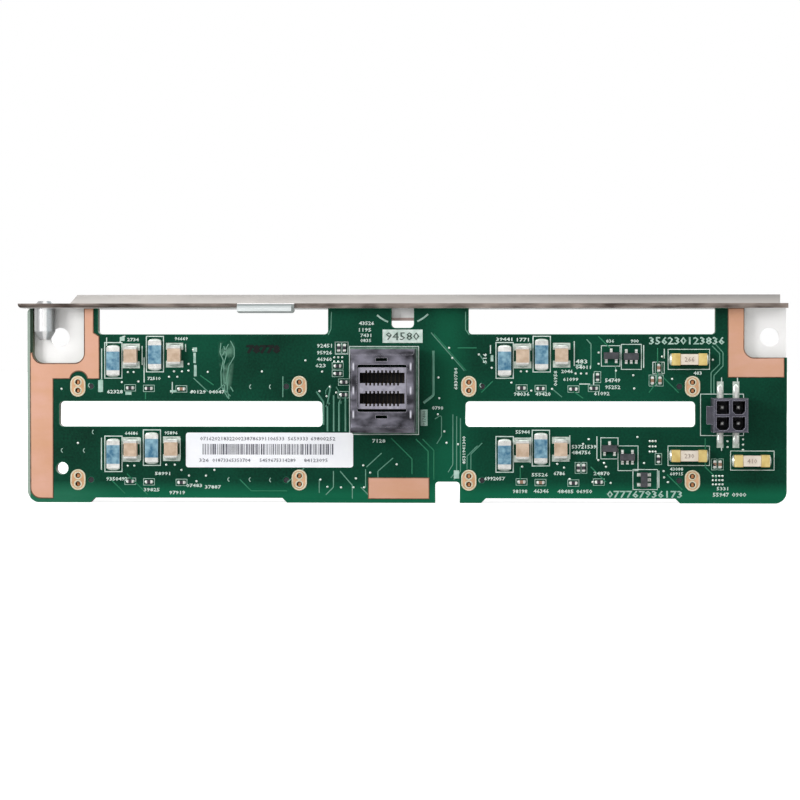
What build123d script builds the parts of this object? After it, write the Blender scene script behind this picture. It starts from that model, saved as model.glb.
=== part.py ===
from build123d import *
import os

os.makedirs("parts", exist_ok=True)

# The origin is the left screw hole, on the front of its tab. X runs along the board, Z is up, and the
# component side of the board faces -Y. All sizes are in millimetres.

# Board outline
board_left = -5.95
right_margin = 17.87
board_top = 5.5
board_bottom = -31.65
board_thickness = 2.4
board_corner = 2.3
top_corner = 0.8
inner_corner = 0.7

# Drive bays: two columns and two rows, placed from the lock nearest the left screw hole
first_lock_x = 3.75
bay_pitch = 74.88
row_z = -9.4
row_pitch = 17.9
lock_span = 42.5
lock_pitch = 1.6
lock_hole = 1.0
peg_span = 37.5
peg_hole = 1.15

# Airflow slots, top notches and the shallow relief along the lower edge
slot_height = 4.85
slot_z = -14.68
slot_left_shift = 0.4
slot_left_width = 50.5
slot_right_shift = 0.05
slot_right_width = 43.7
slot_corner = 0.8
notch_floor = 0.54
notch_left_shift = 4.7
notch_left_width = 44.1
notch_right_shift = 2.12
notch_right_width = 46.85
relief_depth = 0.9
relief_width = 36.0

# Cut-outs of the outline and the tooling hole
foot_notch_shift = 25.33
foot_notch_width = 4.7
foot_notch_depth = 4.05
screw_cut_half = 4.93
screw_cut_floor = -4.96
screw_cut_corner = 1.9
right_screw_shift = 14.72
right_cut_floor = -3.9
finger_shift = 3.56
finger_width = 4.3
finger_floor = 1.75
finger_corner = 0.8
tool_hole = 2.35
tool_hole_x = 0.69
tool_hole_z = -25.1

# Bare copper on the component side
copper_thickness = 0.1
copper_edge = 0.5
strip_width = 4.45
strip_corner = 2.0
strip_top = -2.95
strip_bottom = -30.9
arm_narrow = 6.8
arm_wide = 7.9
arm_step = 0.35
pad_band_low = -8.0
relief_x = 3.9
relief_z = -8.2
relief_radius = 1.65
low_pad_shift = 2.81
low_pad_width = 11.7
low_pad_height = 4.1
right_strip_shift = 6.67
right_strip_low = -7.7
lock_pad_width = 2.9
lock_pad_height = 4.0

# Top rail, folded from one sheet
sheet = 0.9
fold_radius = 0.75
rail_left = -7.5
rail_front_reach = 3.0
rail_depth = 15.5
lip_height = 2.0
lip_left = -0.55
lip_slant = 1.75
fold_reach = 0.01
tab_half = 5.8
tab_low = -6.6
tab_corner = 1.5
screw_hole = 3.6
middle_tab_half = 3.2
middle_tab_low = 3.15
middle_tab_corner = 0.5
front_tab_x = 40.1
front_tab_width = 10.9
front_tab_low = 4.55
front_tab_corner = 0.5

# Locating pin
pin_x = -2.6
pin_reach = 2.4
pin_diameter = 4.0
pin_shoulder_low = 1.1
pin_tip_low = -0.5
pin_tip_diameter = 2.3
pin_edge = 0.15
rivet_diameter = 2.5
rivet_head_diameter = 3.4
rivet_head_height = 0.5
rivet_clearance = 0.02

# Data port
port_z = -10.2
port_height = 8.0
shield_width = 12.1
shield_length = 15.8
shield_wall = 0.35
shield_roof = 0.35
shield_end_slope = 1.1
shield_side_round = 0.5
well_width = 9.3
well_height = 8.9
well_offset = 0.52
port_gap = 0.5
port_side_gap = 0.1
port_slot_width = 8.5
port_slot_height = 2.0
port_slot_pitch = 3.9
port_slot_floor = 2.0
port_recess = 0.5
port_contact_count = 9
port_contact_pitch = 0.75
port_contact_width = 0.3
port_contact_thickness = 0.2
port_contact_height = 6.2
port_contact_bend = 5.0
port_contact_bow = 0.35
port_contact_clearance = 0.03
groove_width = 0.38
groove_depth = 0.45
latch_window_width = 2.2
latch_window_height = 0.6
latch_window_inset = 0.95
latch_window_shift = 0.1

# Power header
header_shift = 6.72
header_z = -14.75
header_width = 6.55
header_length = 6.4
header_height = 9.0
header_edge = 0.2
header_pitch = 3.0
cell_width = 2.4
cell_height = 2.5
cell_depth = 7.4
cell_chamfer = 0.55
latch_width = 3.4
latch_reach = 1.1
latch_height = 2.4
latch_drop = 1.4
pin_side = 0.64
pin_clearance = 0.03
pin_top = 7.0
tail_width = 0.55
tail_thickness = 0.4
tail_reach = 2.2

# Fuses
fuse_length = 6.7
fuse_side = 2.3
fuse_cap_length = 1.65
fuse_cap_wall = 0.12
fuse_fit = 0.01
fuse_cap_edge = 0.1
fuse_spots = ((20.57, 0, 5.15), (20.57, 1, 4.75))
outer_fuse_spot = (11.17, 1, 3.8)

# Sense resistors and capacitors of each bay, placed from its left lock
resistor_width = 2.5
resistor_length = 5.3
resistor_height = 0.6
resistor_end = 0.85
coat_step = 0.05
capacitor_width = 2.55
capacitor_length = 3.4
capacitor_height = 2.0
capacitor_end = 0.45
end_step = 0.05
end_round = 0.1
first_resistor = (6.8, 4.85)
second_resistor = (13.85, 6.05)
first_capacitor = (10.25, 5.8)
second_capacitor = (17.65, 5.95)
pair_shifts = (0.95, 0.35, 0.0, -0.15)

# Transistors with three and five leads
body_length = 2.9
body_width = 1.35
body_height = 1.0
body_standoff = 0.08
body_draft = 6
lead_width = 0.42
lead_thickness = 0.15
lead_reach = 0.6
lead_spread = 0.95
lead_height = 0.45
three_lead_spots = ((5.82, 0, 5.85), (5.52, 1, 6.1))
five_lead_spots = ((9.62, 0, 5.7), (8.92, 1, 4.45))
turned_spot = (12.07, 1, 0.15)

# Small chips: lying and standing ones in each bay, beside the port and round the right-hand parts
chip_length = 1.2
chip_width = 0.6
chip_height = 0.4
chip_end = 0.28
bay_chip_spots = ((-11.2, -0.3), (-7.6, -0.4), (-1.35, -0.5))
port_lying_spots = ((-8.84, 4.7), (-8.84, 3.25), (-7.64, 1.62), (-7.74, -0.8))
port_standing_spots = ((-8.64, 8.14), (-7.54, 8.14))
right_lying_spots = ((2.52, 0, -0.36), (3.5, 1, -0.3))
right_standing_spots = (
    (3.22, 0, 1.78),
    (13.62, 0, 1.13),
    (15.07, 0, 1.13),
    (14.82, 0, 3.54),
    (-0.4, 1, 2.4),
    (0.6, 1, 2.4),
    (14.8, 1, 4.1),
)
header_standing_spots = ((-2.5, -9.45), (-1.5, -9.45))

# Label
label_shift = 0.5
label_width = 32.05
label_top = -18.25
label_bottom = -24.9
label_corner = 0.5
label_thickness = 0.1

# Drive receptacles on the far side
receptacle_depth = 7.6
base_depth = 4.6
nose_edge = 0.3
receptacle_height = 5.0
nose_width = 37.9
post_width = 3.4
post_depth = 11.5
post_tip_length = 2.6
post_tip_draft = 20
blade_slot_width = 33.4
blade_slot_height = 1.35
blade_slot_depth = 5.8
key_width = 1.1
key_height = 2.3
contact_pitch = 1.27
power_contacts = 15
signal_contacts = 7
group_gap = 0.9
contact_width = 0.7
contact_thickness = 0.25
contact_groove = 0.35
contact_clearance = 0.03
contact_foot = 0.3
contact_rise = 3.0
contact_crest = 5.6
contact_tip = 7.0
contact_bow = 0.35
peg_clearance = 0.05
peg_shy = 0.2
lock_prong = 0.7
lock_prong_thickness = 0.5
lock_shy = 0.3
lock_bridge_height = 1.0
lock_clearance = 0.03
led_length = 1.6
led_width = 0.85
led_base = 0.3
led_lens_height = 0.35
led_lens_inset = 0.25
led_lens_draft = 10
led_gap = 4.95
led_spread = 1.3

# Places worked out from the sizes above
component_side = Plane.XZ.offset(board_thickness)
drive_side = Plane.XZ
bay_x = first_lock_x + lock_span / 2
right_bay_x = bay_x + bay_pitch
last_lock_x = right_bay_x + lock_span / 2
board_right = last_lock_x + right_margin
board_width = board_right - board_left
board_height = board_top - board_bottom
port_x = bay_x + bay_pitch / 2
finger_x = port_x + finger_shift
right_screw_x = last_lock_x + right_screw_shift
header_x = last_lock_x + header_shift
bays = [(bay_x + column * bay_pitch, row_z - row * row_pitch) for column in range(2) for row in range(2)]
lock_places = [(x + side * lock_span / 2, z) for x, z in bays for side in (-1, 1)]
lock_holes = [(x, z + side * lock_pitch / 2) for x, z in lock_places for side in (-1, 1)]
peg_places = [(x + side * peg_span / 2, z) for x, z in bays for side in (-1, 1)]
rail_underside = board_top
rail_topside = rail_underside + sheet
rail_front = -board_thickness - rail_front_reach
well_z = port_z + well_offset
port_slots = [(port_x, well_z + side * port_slot_pitch / 2) for side in (-1, 1)]
latch_windows = [
    (port_x - latch_window_shift, well_z + side * (well_height / 2 + latch_window_inset)) for side in (-1, 1)
]


def right_place(spot):
    """Place of a part on the right-hand side, from its shift along the bay, its row and its rise."""
    shift, row, rise = spot
    return (right_bay_x + shift, bays[row][1] + rise)


def finish(name, piece):
    """Name a piece and write it to its own file."""
    piece.part.label = name
    export_step(piece.part, f"parts/{name}.step")


# Circuit board, one laminate sheet with every cut-out
with BuildPart() as circuit_board:
    with BuildSketch(drive_side):
        with Locations(((board_left + board_right) / 2, (board_top + board_bottom) / 2)):
            Rectangle(board_width, board_height)
        fillet(vertices().group_by(Axis.Y)[0], board_corner)
        fillet(vertices().group_by(Axis.X)[0].sort_by(Axis.Y)[-1], top_corner)
        with Locations((bay_x + slot_left_shift, slot_z)):
            RectangleRounded(slot_left_width, slot_height, slot_corner, mode=Mode.SUBTRACT)
        with Locations((right_bay_x - slot_right_shift, slot_z)):
            RectangleRounded(slot_right_width, slot_height, slot_corner, mode=Mode.SUBTRACT)
        for centre, width in (
            (bay_x + notch_left_shift, notch_left_width),
            (right_bay_x + notch_right_shift, notch_right_width),
        ):
            with Locations((centre, board_top)):
                RectangleRounded(width, 2 * (board_top - notch_floor), inner_corner, mode=Mode.SUBTRACT)
        with Locations((0, board_top)):
            RectangleRounded(
                2 * screw_cut_half, 2 * (board_top - screw_cut_floor), screw_cut_corner, mode=Mode.SUBTRACT
            )
        with Locations((right_screw_x, board_top)):
            RectangleRounded(
                2 * screw_cut_half, 2 * (board_top - right_cut_floor), screw_cut_corner, mode=Mode.SUBTRACT
            )
        with Locations((finger_x, board_top)):
            RectangleRounded(finger_width, 2 * (board_top - finger_floor), finger_corner, mode=Mode.SUBTRACT)
        with Locations((right_bay_x - foot_notch_shift, board_bottom)):
            RectangleRounded(foot_notch_width, 2 * foot_notch_depth, inner_corner, mode=Mode.SUBTRACT)
        for column in range(2):
            with Locations((bay_x + column * bay_pitch, board_bottom)):
                Trapezoid(relief_width + 4 * relief_depth, 2 * relief_depth, 45, mode=Mode.SUBTRACT)
        with Locations(*lock_holes):
            Circle(lock_hole / 2, mode=Mode.SUBTRACT)
        with Locations(*peg_places):
            Circle(peg_hole / 2, mode=Mode.SUBTRACT)
        with Locations((tool_hole_x, tool_hole_z)):
            Circle(tool_hole / 2, mode=Mode.SUBTRACT)
    extrude(amount=board_thickness)
finish("circuit_board", circuit_board)

# Ground strip at the left: an upright strip, a band under the screw cut-out and an arm beside it
with BuildPart() as ground_strip_left:
    strip_left = board_left + copper_edge
    with BuildSketch(component_side):
        with BuildLine():
            Polyline(
                (strip_left, strip_top),
                (strip_left, strip_bottom),
                (strip_left + strip_width, strip_bottom),
                (strip_left + strip_width, pad_band_low),
                (arm_wide, pad_band_low),
                (arm_wide, notch_floor - arm_step),
                (arm_narrow, notch_floor + arm_step),
                (arm_narrow, board_top),
                (0, board_top),
                (0, strip_top),
                close=True,
            )
        make_face()
        fillet(vertices().group_by(Axis.X)[0].sort_by(Axis.Y)[0], strip_corner)
        with Locations((0, board_top)):
            RectangleRounded(
                2 * screw_cut_half, 2 * (board_top - screw_cut_floor), screw_cut_corner, mode=Mode.SUBTRACT
            )
        with Locations((relief_x, relief_z)):
            Circle(relief_radius, mode=Mode.SUBTRACT)
    extrude(amount=copper_thickness)
finish("ground_strip_left", ground_strip_left)

# Ground pad on the lower edge, level with the foot of the left strip
with BuildPart() as ground_pad_lower:
    with BuildSketch(component_side):
        with Locations((port_x + low_pad_shift, strip_bottom + low_pad_height / 2)):
            Rectangle(low_pad_width, low_pad_height)
    extrude(amount=copper_thickness)
finish("ground_pad_lower", ground_pad_lower)

# Ground strip at the right, round the inner side and foot of the right screw cut-out
with BuildPart() as ground_strip_right:
    with BuildSketch(component_side):
        with BuildLine():
            right_strip_left = last_lock_x + right_strip_shift
            Polyline(
                (right_strip_left, board_top),
                (right_strip_left, right_strip_low),
                (board_right - copper_edge, right_strip_low),
                (board_right - copper_edge, board_top),
                close=True,
            )
        make_face()
        with Locations((right_screw_x, board_top)):
            RectangleRounded(
                2 * screw_cut_half, 2 * (board_top - right_cut_floor), screw_cut_corner, mode=Mode.SUBTRACT
            )
    extrude(amount=copper_thickness)
finish("ground_strip_right", ground_strip_right)

# Oval plated pads round the lock holes
with BuildPart() as lock_pads:
    with BuildSketch(component_side):
        with Locations(*lock_places):
            SlotOverall(lock_pad_height, lock_pad_width, rotation=90)
        with Locations(*lock_holes):
            Circle(lock_hole / 2, mode=Mode.SUBTRACT)
    extrude(amount=copper_thickness)
finish("lock_pads", lock_pads)

# Top rail, one folded sheet: plate, up-turned lip, screw tabs, middle tab and down-turned front tab
with BuildPart() as top_rail:
    rail_width = board_right - rail_left
    with BuildSketch(Plane.XY.offset(rail_underside)):
        with Locations((rail_left, rail_front)):
            Rectangle(rail_width, rail_depth - rail_front, align=(Align.MIN, Align.MIN))
        fillet(vertices().group_by(Axis.X)[0], top_corner)
        for centre, half, low in (
            (0, tab_half, tab_low),
            (right_screw_x, tab_half, tab_low),
            (finger_x, middle_tab_half, middle_tab_low),
        ):
            with Locations((centre, sheet)):
                Rectangle(2 * half, rail_underside - low, align=(Align.CENTER, Align.MIN), mode=Mode.SUBTRACT)
        with Locations((pin_x, -pin_reach)):
            Circle(rivet_diameter / 2 + rivet_clearance, mode=Mode.SUBTRACT)
    extrude(amount=sheet)
    for centre, half, low, corner in (
        (0, tab_half, tab_low, tab_corner),
        (finger_x, middle_tab_half, middle_tab_low, middle_tab_corner),
    ):
        with BuildSketch(drive_side) as tab_face:
            with Locations((centre, rail_topside)):
                Rectangle(2 * half, rail_topside - low, align=(Align.CENTER, Align.MAX))
            fillet(tab_face.vertices().group_by(Axis.Y)[0], corner)
        extrude(amount=-sheet)
    with BuildSketch(drive_side) as right_tab_face:
        with Locations((right_screw_x - tab_half, rail_topside)):
            right_tab_width = board_right - right_screw_x + tab_half
            Rectangle(right_tab_width, rail_topside - tab_low, align=(Align.MIN, Align.MAX))
        fillet(right_tab_face.vertices().group_by(Axis.Y)[0].sort_by(Axis.X)[0], tab_corner)
    extrude(amount=-sheet)
    with BuildSketch(drive_side):
        with Locations((0, 0), (right_screw_x, 0)):
            Circle(screw_hole / 2)
    extrude(amount=-sheet, mode=Mode.SUBTRACT)
    with BuildSketch(Plane.XZ.offset(-rail_depth)):
        with BuildLine():
            Polyline(
                (lip_left, rail_underside),
                (lip_left, rail_topside),
                (lip_left + lip_slant, rail_topside + lip_height),
                (board_right, rail_topside + lip_height),
                (board_right, rail_underside),
                close=True,
            )
        make_face()
    extrude(amount=sheet)
    with BuildSketch(Plane.XZ.offset(-rail_front - sheet)) as front_tab_face:
        with Locations((front_tab_x, rail_topside)):
            Rectangle(front_tab_width, rail_topside - front_tab_low, align=(Align.CENTER, Align.MAX))
        fillet(front_tab_face.vertices().group_by(Axis.Y)[0], front_tab_corner)
    extrude(amount=2 * sheet)
    folds = top_rail.edges().filter_by(Axis.X)
    front_fold = folds.group_by(Axis.Y)[0].sort_by(Axis.Z)[-1]
    rear_edges = folds.filter_by_position(Axis.Y, rail_depth - fold_reach, rail_depth + fold_reach)
    lip_fold = rear_edges.sort_by(Axis.Z)[0]
    fillet([front_fold, lip_fold], fold_radius)
finish("top_rail", top_rail)

# Locating pin, turned, with its shank riveted through the rail
with BuildPart() as locating_pin:
    with BuildSketch(Plane.XZ.offset(pin_reach)):
        with BuildLine():
            Polyline(
                (pin_x, pin_tip_low),
                (pin_x + pin_tip_diameter / 2 - pin_edge, pin_tip_low),
                (pin_x + pin_tip_diameter / 2, pin_tip_low + pin_edge),
                (pin_x + pin_diameter / 2, pin_shoulder_low),
                (pin_x + pin_diameter / 2, rail_underside),
                (pin_x + rivet_diameter / 2, rail_underside),
                (pin_x + rivet_diameter / 2, rail_topside),
                (pin_x + rivet_head_diameter / 2, rail_topside),
                (pin_x + rivet_diameter / 2, rail_topside + rivet_head_height),
                (pin_x, rail_topside + rivet_head_height),
                close=True,
            )
        make_face()
    revolve(axis=Axis((pin_x, -pin_reach, 0), (0, 0, 1)))
finish("locating_pin", locating_pin)

# Data port shield, a drawn cover open over the mating face, with sloped ends and two latch windows
with BuildPart() as port_shield:
    with BuildSketch(component_side):
        with Locations((port_x, port_z)):
            Rectangle(shield_width, shield_length)
    extrude(amount=port_height)
    chamfer(port_shield.faces().sort_by(Axis.Y)[0].edges().filter_by(Axis.X), shield_end_slope)
    fillet(port_shield.faces().sort_by(Axis.Y)[0].edges().filter_by(Axis.Z), shield_side_round)
    with BuildSketch(component_side):
        with Locations((port_x, port_z)):
            Rectangle(shield_width - 2 * shield_wall, shield_length - 2 * shield_end_slope)
    extrude(amount=port_height - shield_roof, mode=Mode.SUBTRACT)
    with BuildSketch(component_side):
        with Locations((port_x, well_z)):
            RectangleRounded(well_width, well_height, shield_wall)
        with Locations(*latch_windows):
            Rectangle(latch_window_width, latch_window_height)
    extrude(amount=port_height, mode=Mode.SUBTRACT)
finish("port_shield", port_shield)

# Data port housing: a moulded block with two mating slots and a groove for each contact
with BuildPart() as port_housing:
    with BuildSketch(component_side):
        with Locations((port_x, well_z)):
            Rectangle(well_width - 2 * port_side_gap, well_height - 2 * port_gap)
    extrude(amount=port_height - port_recess)
    mating_face = port_housing.faces().sort_by(Axis.Y)[0]
    chamfer(mating_face.edges().filter_by(Axis.X), port_side_gap)
    with BuildSketch(component_side.offset(port_slot_floor)):
        with Locations(*port_slots):
            Rectangle(port_slot_width, port_slot_height)
    extrude(amount=port_height, mode=Mode.SUBTRACT)
    with BuildSketch(component_side):
        with Locations(*port_slots):
            with GridLocations(port_contact_pitch, port_slot_height + groove_depth, port_contact_count, 2):
                Rectangle(groove_width, groove_depth)
    extrude(amount=port_height, mode=Mode.SUBTRACT)
finish("port_housing", port_housing)

# Data port contacts: each stands in its groove and bows a little into the slot near its mouth
with BuildPart() as port_contacts:
    first_contact = port_x - (port_contact_count - 1) * port_contact_pitch / 2 - port_contact_width / 2
    contact_xs = [first_contact + n * port_contact_pitch for n in range(port_contact_count)]
    contact_planes = [Plane.YZ.offset(x) for x in contact_xs]
    foot = -board_thickness
    for slot_x, slot_middle in port_slots:
        for side in (-1, 1):
            back = slot_middle + side * (port_slot_height / 2 + groove_depth - port_contact_clearance)
            front = back - side * port_contact_thickness
            with BuildSketch(*contact_planes):
                with BuildLine():
                    Polyline(
                        (foot, back),
                        (foot - port_slot_floor, back),
                        (foot - port_contact_bend, back - side * port_contact_bow),
                        (foot - port_contact_height, back),
                        (foot - port_contact_height, front),
                        (foot - port_contact_bend, front - side * port_contact_bow),
                        (foot - port_slot_floor, front),
                        (foot, front),
                        close=True,
                    )
                make_face()
            extrude(amount=port_contact_width)
finish("port_contacts", port_contacts)

# Power header housing: four keyed cells, a latch ramp at its side and channels under it for the tails
with BuildPart() as power_housing:
    with BuildSketch(component_side):
        with Locations((header_x, header_z)):
            Rectangle(header_width, header_length)
    extrude(amount=header_height)
    top_face = power_housing.faces().sort_by(Axis.Y)[0]
    chamfer(top_face.edges(), header_edge)
    with BuildSketch(component_side.offset(header_height)) as cells:
        with Locations((header_x, header_z)):
            with GridLocations(header_pitch, header_pitch, 2, 2):
                Rectangle(cell_width, cell_height)
        cell_rows = cells.vertices().group_by(Axis.Y)
        chamfer(cell_rows[0] + cell_rows[2].sort_by(Axis.X)[2:], cell_chamfer)
    extrude(amount=-cell_depth, mode=Mode.SUBTRACT)
    with BuildSketch(component_side):
        with Locations((header_x, header_z)):
            with GridLocations(header_pitch, header_pitch, 2, 2):
                Rectangle(pin_side + 2 * pin_clearance, pin_side + 2 * pin_clearance)
    extrude(amount=header_height, mode=Mode.SUBTRACT)
    with BuildSketch(component_side):
        for side, channel_align in ((-1, Align.MAX), (1, Align.MIN)):
            with Locations((header_x, header_z + side * header_pitch / 2)):
                with GridLocations(header_pitch, 0, 2, 1):
                    Rectangle(
                        pin_side + 2 * pin_clearance, header_length, align=(Align.CENTER, channel_align)
                    )
    extrude(amount=tail_thickness + pin_clearance, mode=Mode.SUBTRACT)
    with BuildSketch(Plane.XY.offset(header_z)):
        with BuildLine():
            ramp_root = header_x - header_width / 2
            ramp_top = -board_thickness - header_height + latch_drop
            Polyline(
                (ramp_root, ramp_top),
                (ramp_root, ramp_top + latch_height),
                (ramp_root - latch_reach, ramp_top + latch_height),
                close=True,
            )
        make_face()
    extrude(amount=latch_width / 2, both=True)
finish("power_housing", power_housing)

# Power header pins: square posts whose soldered tails run out over the board
with BuildPart() as power_pins:
    for column in (-1, 1):
        for side in (-1, 1):
            pin_centre_x = header_x + column * header_pitch / 2
            pin_centre_z = header_z + side * header_pitch / 2
            tail_end = header_z + side * (header_length / 2 + tail_reach)
            with BuildSketch(component_side):
                with Locations((pin_centre_x, pin_centre_z)):
                    Rectangle(pin_side, pin_side)
            extrude(amount=pin_top)
            with BuildSketch(component_side):
                with Locations((pin_centre_x, (pin_centre_z + tail_end) / 2)):
                    Rectangle(tail_width, abs(tail_end - pin_centre_z))
            extrude(amount=tail_thickness)
    tips = power_pins.faces().group_by(Axis.Y)[0]
    chamfer(tips.edges(), pin_side / 4)
finish("power_pins", power_pins)

# Fuses: a square ceramic body between two pressed end caps
outer_shift, outer_row, outer_rise = outer_fuse_spot
fuse_places = [right_place(spot) for spot in fuse_spots]
fuse_places.append((last_lock_x + outer_shift, bays[outer_row][1] + outer_rise))
for number, (fuse_x, fuse_z) in enumerate(fuse_places, start=1):
    with BuildPart() as fuse_body:
        body_inset = fuse_cap_wall + fuse_fit
        with BuildSketch(component_side.offset(body_inset)):
            with Locations((fuse_x, fuse_z)):
                Rectangle(fuse_length - 2 * body_inset, fuse_side - 2 * body_inset)
        extrude(amount=fuse_side - 2 * body_inset)
    finish(f"fuse_body_{number}", fuse_body)
    with BuildPart() as fuse_caps:
        with BuildSketch(component_side):
            with Locations((fuse_x, fuse_z)):
                Rectangle(fuse_length, fuse_side)
        extrude(amount=fuse_side)
        fillet(fuse_caps.edges(), fuse_cap_edge)
        with BuildSketch(component_side):
            with Locations((fuse_x, fuse_z)):
                Rectangle(fuse_length - 2 * fuse_cap_length, fuse_side)
        extrude(amount=fuse_side, mode=Mode.SUBTRACT)
        with BuildSketch(component_side.offset(fuse_cap_wall)):
            with Locations((fuse_x, fuse_z)):
                Rectangle(fuse_length - 2 * fuse_cap_wall, fuse_side - 2 * fuse_cap_wall)
        extrude(amount=fuse_side - 2 * fuse_cap_wall, mode=Mode.SUBTRACT)
    finish(f"fuse_caps_{number}", fuse_caps)

# Sense resistors and ceramic capacitors of each bay, with their end terminals
for number, ((bay_centre, bay_row), shift) in enumerate(zip(bays, pair_shifts), start=1):
    bay_start = bay_centre - lock_span / 2
    resistor_places = [
        (bay_start + first_resistor[0], bay_row + first_resistor[1]),
        (bay_start + second_resistor[0] + shift, bay_row + second_resistor[1]),
    ]
    capacitor_places = [
        (bay_start + first_capacitor[0], bay_row + first_capacitor[1]),
        (bay_start + second_capacitor[0] + shift, bay_row + second_capacitor[1]),
    ]
    with BuildPart() as sense_resistors:
        with BuildSketch(component_side):
            with Locations(*resistor_places):
                Rectangle(resistor_width, resistor_length - 2 * resistor_end)
        extrude(amount=resistor_height + coat_step)
        coat = sense_resistors.faces().group_by(Axis.Y)[0]
        chamfer(coat.edges().filter_by(Axis.X), coat_step)
    finish(f"sense_resistors_{number}", sense_resistors)
    with BuildPart() as resistor_ends:
        with BuildSketch(component_side):
            with Locations(*resistor_places):
                with GridLocations(0, resistor_length - resistor_end, 1, 2):
                    Rectangle(resistor_width, resistor_end)
        extrude(amount=resistor_height)
    finish(f"resistor_ends_{number}", resistor_ends)
    with BuildPart() as bay_capacitors:
        with BuildSketch(component_side.offset(end_step)):
            with Locations(*capacitor_places):
                Rectangle(capacitor_width - 2 * end_step, capacitor_length - 2 * capacitor_end)
        extrude(amount=capacitor_height - 2 * end_step)
    finish(f"bay_capacitors_{number}", bay_capacitors)
    with BuildPart() as capacitor_ends:
        with BuildSketch(component_side):
            with Locations(*capacitor_places):
                with GridLocations(0, capacitor_length - capacitor_end, 1, 2):
                    Rectangle(capacitor_width, capacitor_end)
        extrude(amount=capacitor_height)
        chamfer(capacitor_ends.edges(), end_round)
    finish(f"capacitor_ends_{number}", capacitor_ends)

three_lead_places = [right_place(spot) for spot in three_lead_spots]
five_lead_places = [right_place(spot) for spot in five_lead_spots]
turned_place = right_place(turned_spot)

# Transistors: moulded bodies with sloped sides, and bent leads soldered flat
with BuildPart() as transistor_bodies:
    with BuildSketch(component_side.offset(body_standoff)):
        with Locations(*three_lead_places, *five_lead_places):
            Rectangle(body_length, body_width)
        with Locations(turned_place):
            Rectangle(body_width, body_length)
    extrude(amount=body_height, taper=body_draft)
finish("transistor_bodies", transistor_bodies)


def lead_plane(root_x, root_z, out_x, out_z):
    """Upright plane through a lead: x points away from its body and y points off the board."""
    return Plane(origin=(root_x, -board_thickness, root_z), x_dir=(out_x, 0, out_z), z_dir=(out_z, 0, -out_x))


lead_planes = []
for x, z in three_lead_places:
    lead_planes.append(lead_plane(x, z + body_width / 2, 0, 1))
for x, z in five_lead_places:
    lead_planes += [lead_plane(x + side * lead_spread, z + body_width / 2, 0, 1) for side in (-1, 1)]
    lead_planes.append(lead_plane(x, z - body_width / 2, 0, -1))
for x, z in three_lead_places + five_lead_places:
    lead_planes += [lead_plane(x + side * lead_spread, z - body_width / 2, 0, -1) for side in (-1, 1)]
turned_x, turned_z = turned_place
for side in (-1, 1):
    lead_planes += [
        lead_plane(turned_x + out * body_width / 2, turned_z + side * lead_spread, out, 0) for out in (-1, 1)
    ]
lead_planes.append(lead_plane(turned_x + body_width / 2, turned_z, 1, 0))

with BuildPart() as transistor_leads:
    knee = lead_reach / 3
    with BuildSketch(*lead_planes):
        with BuildLine():
            Polyline(
                (0, lead_height),
                (knee - lead_thickness / 2, lead_height),
                (2 * knee - lead_thickness / 2, 0),
                (lead_reach, 0),
                (lead_reach, lead_thickness),
                (2 * knee, lead_thickness),
                (knee, lead_height + lead_thickness),
                (0, lead_height + lead_thickness),
                close=True,
            )
        make_face()
    extrude(amount=lead_width / 2, both=True)
finish("transistor_leads", transistor_leads)

# Small chips and their end terminals
lying_places = [(x + shift, z + rise) for x, z in bays for shift, rise in bay_chip_spots]
lying_places += [(port_x + shift, port_z + rise) for shift, rise in port_lying_spots]
lying_places += [right_place(spot) for spot in right_lying_spots]
standing_places = [(port_x + shift, port_z + rise) for shift, rise in port_standing_spots]
standing_places += [right_place(spot) for spot in right_standing_spots]
standing_places += [(header_x + shift, header_z + rise) for shift, rise in header_standing_spots]
with BuildPart() as small_chips:
    with BuildSketch(component_side):
        with Locations(*lying_places):
            Rectangle(chip_length - 2 * chip_end, chip_width)
        with Locations(*standing_places):
            Rectangle(chip_width, chip_length - 2 * chip_end)
    extrude(amount=chip_height)
finish("small_chips", small_chips)
with BuildPart() as chip_ends:
    with BuildSketch(component_side):
        with Locations(*lying_places):
            with GridLocations(chip_length - chip_end, 0, 2, 1):
                Rectangle(chip_end, chip_width)
        with Locations(*standing_places):
            with GridLocations(0, chip_length - chip_end, 1, 2):
                Rectangle(chip_width, chip_end)
    extrude(amount=chip_height)
finish("chip_ends", chip_ends)

# Paper label
with BuildPart() as label:
    with BuildSketch(component_side):
        with Locations((bay_x - label_shift + label_width / 2, (label_top + label_bottom) / 2)):
            RectangleRounded(label_width, label_top - label_bottom, label_corner)
    extrude(amount=label_thickness)
finish("label", label)

# Contact places along a drive receptacle, measured from its middle
group_step = contact_pitch + group_gap
contact_row = (power_contacts + signal_contacts - 2) * contact_pitch + group_step
signal_xs = [-contact_row / 2 + n * contact_pitch for n in range(signal_contacts)]
power_xs = [signal_xs[-1] + group_step + n * contact_pitch for n in range(power_contacts)]
groove_outer = blade_slot_height / 2 + contact_groove
channel_width = contact_width + 2 * contact_clearance

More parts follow.
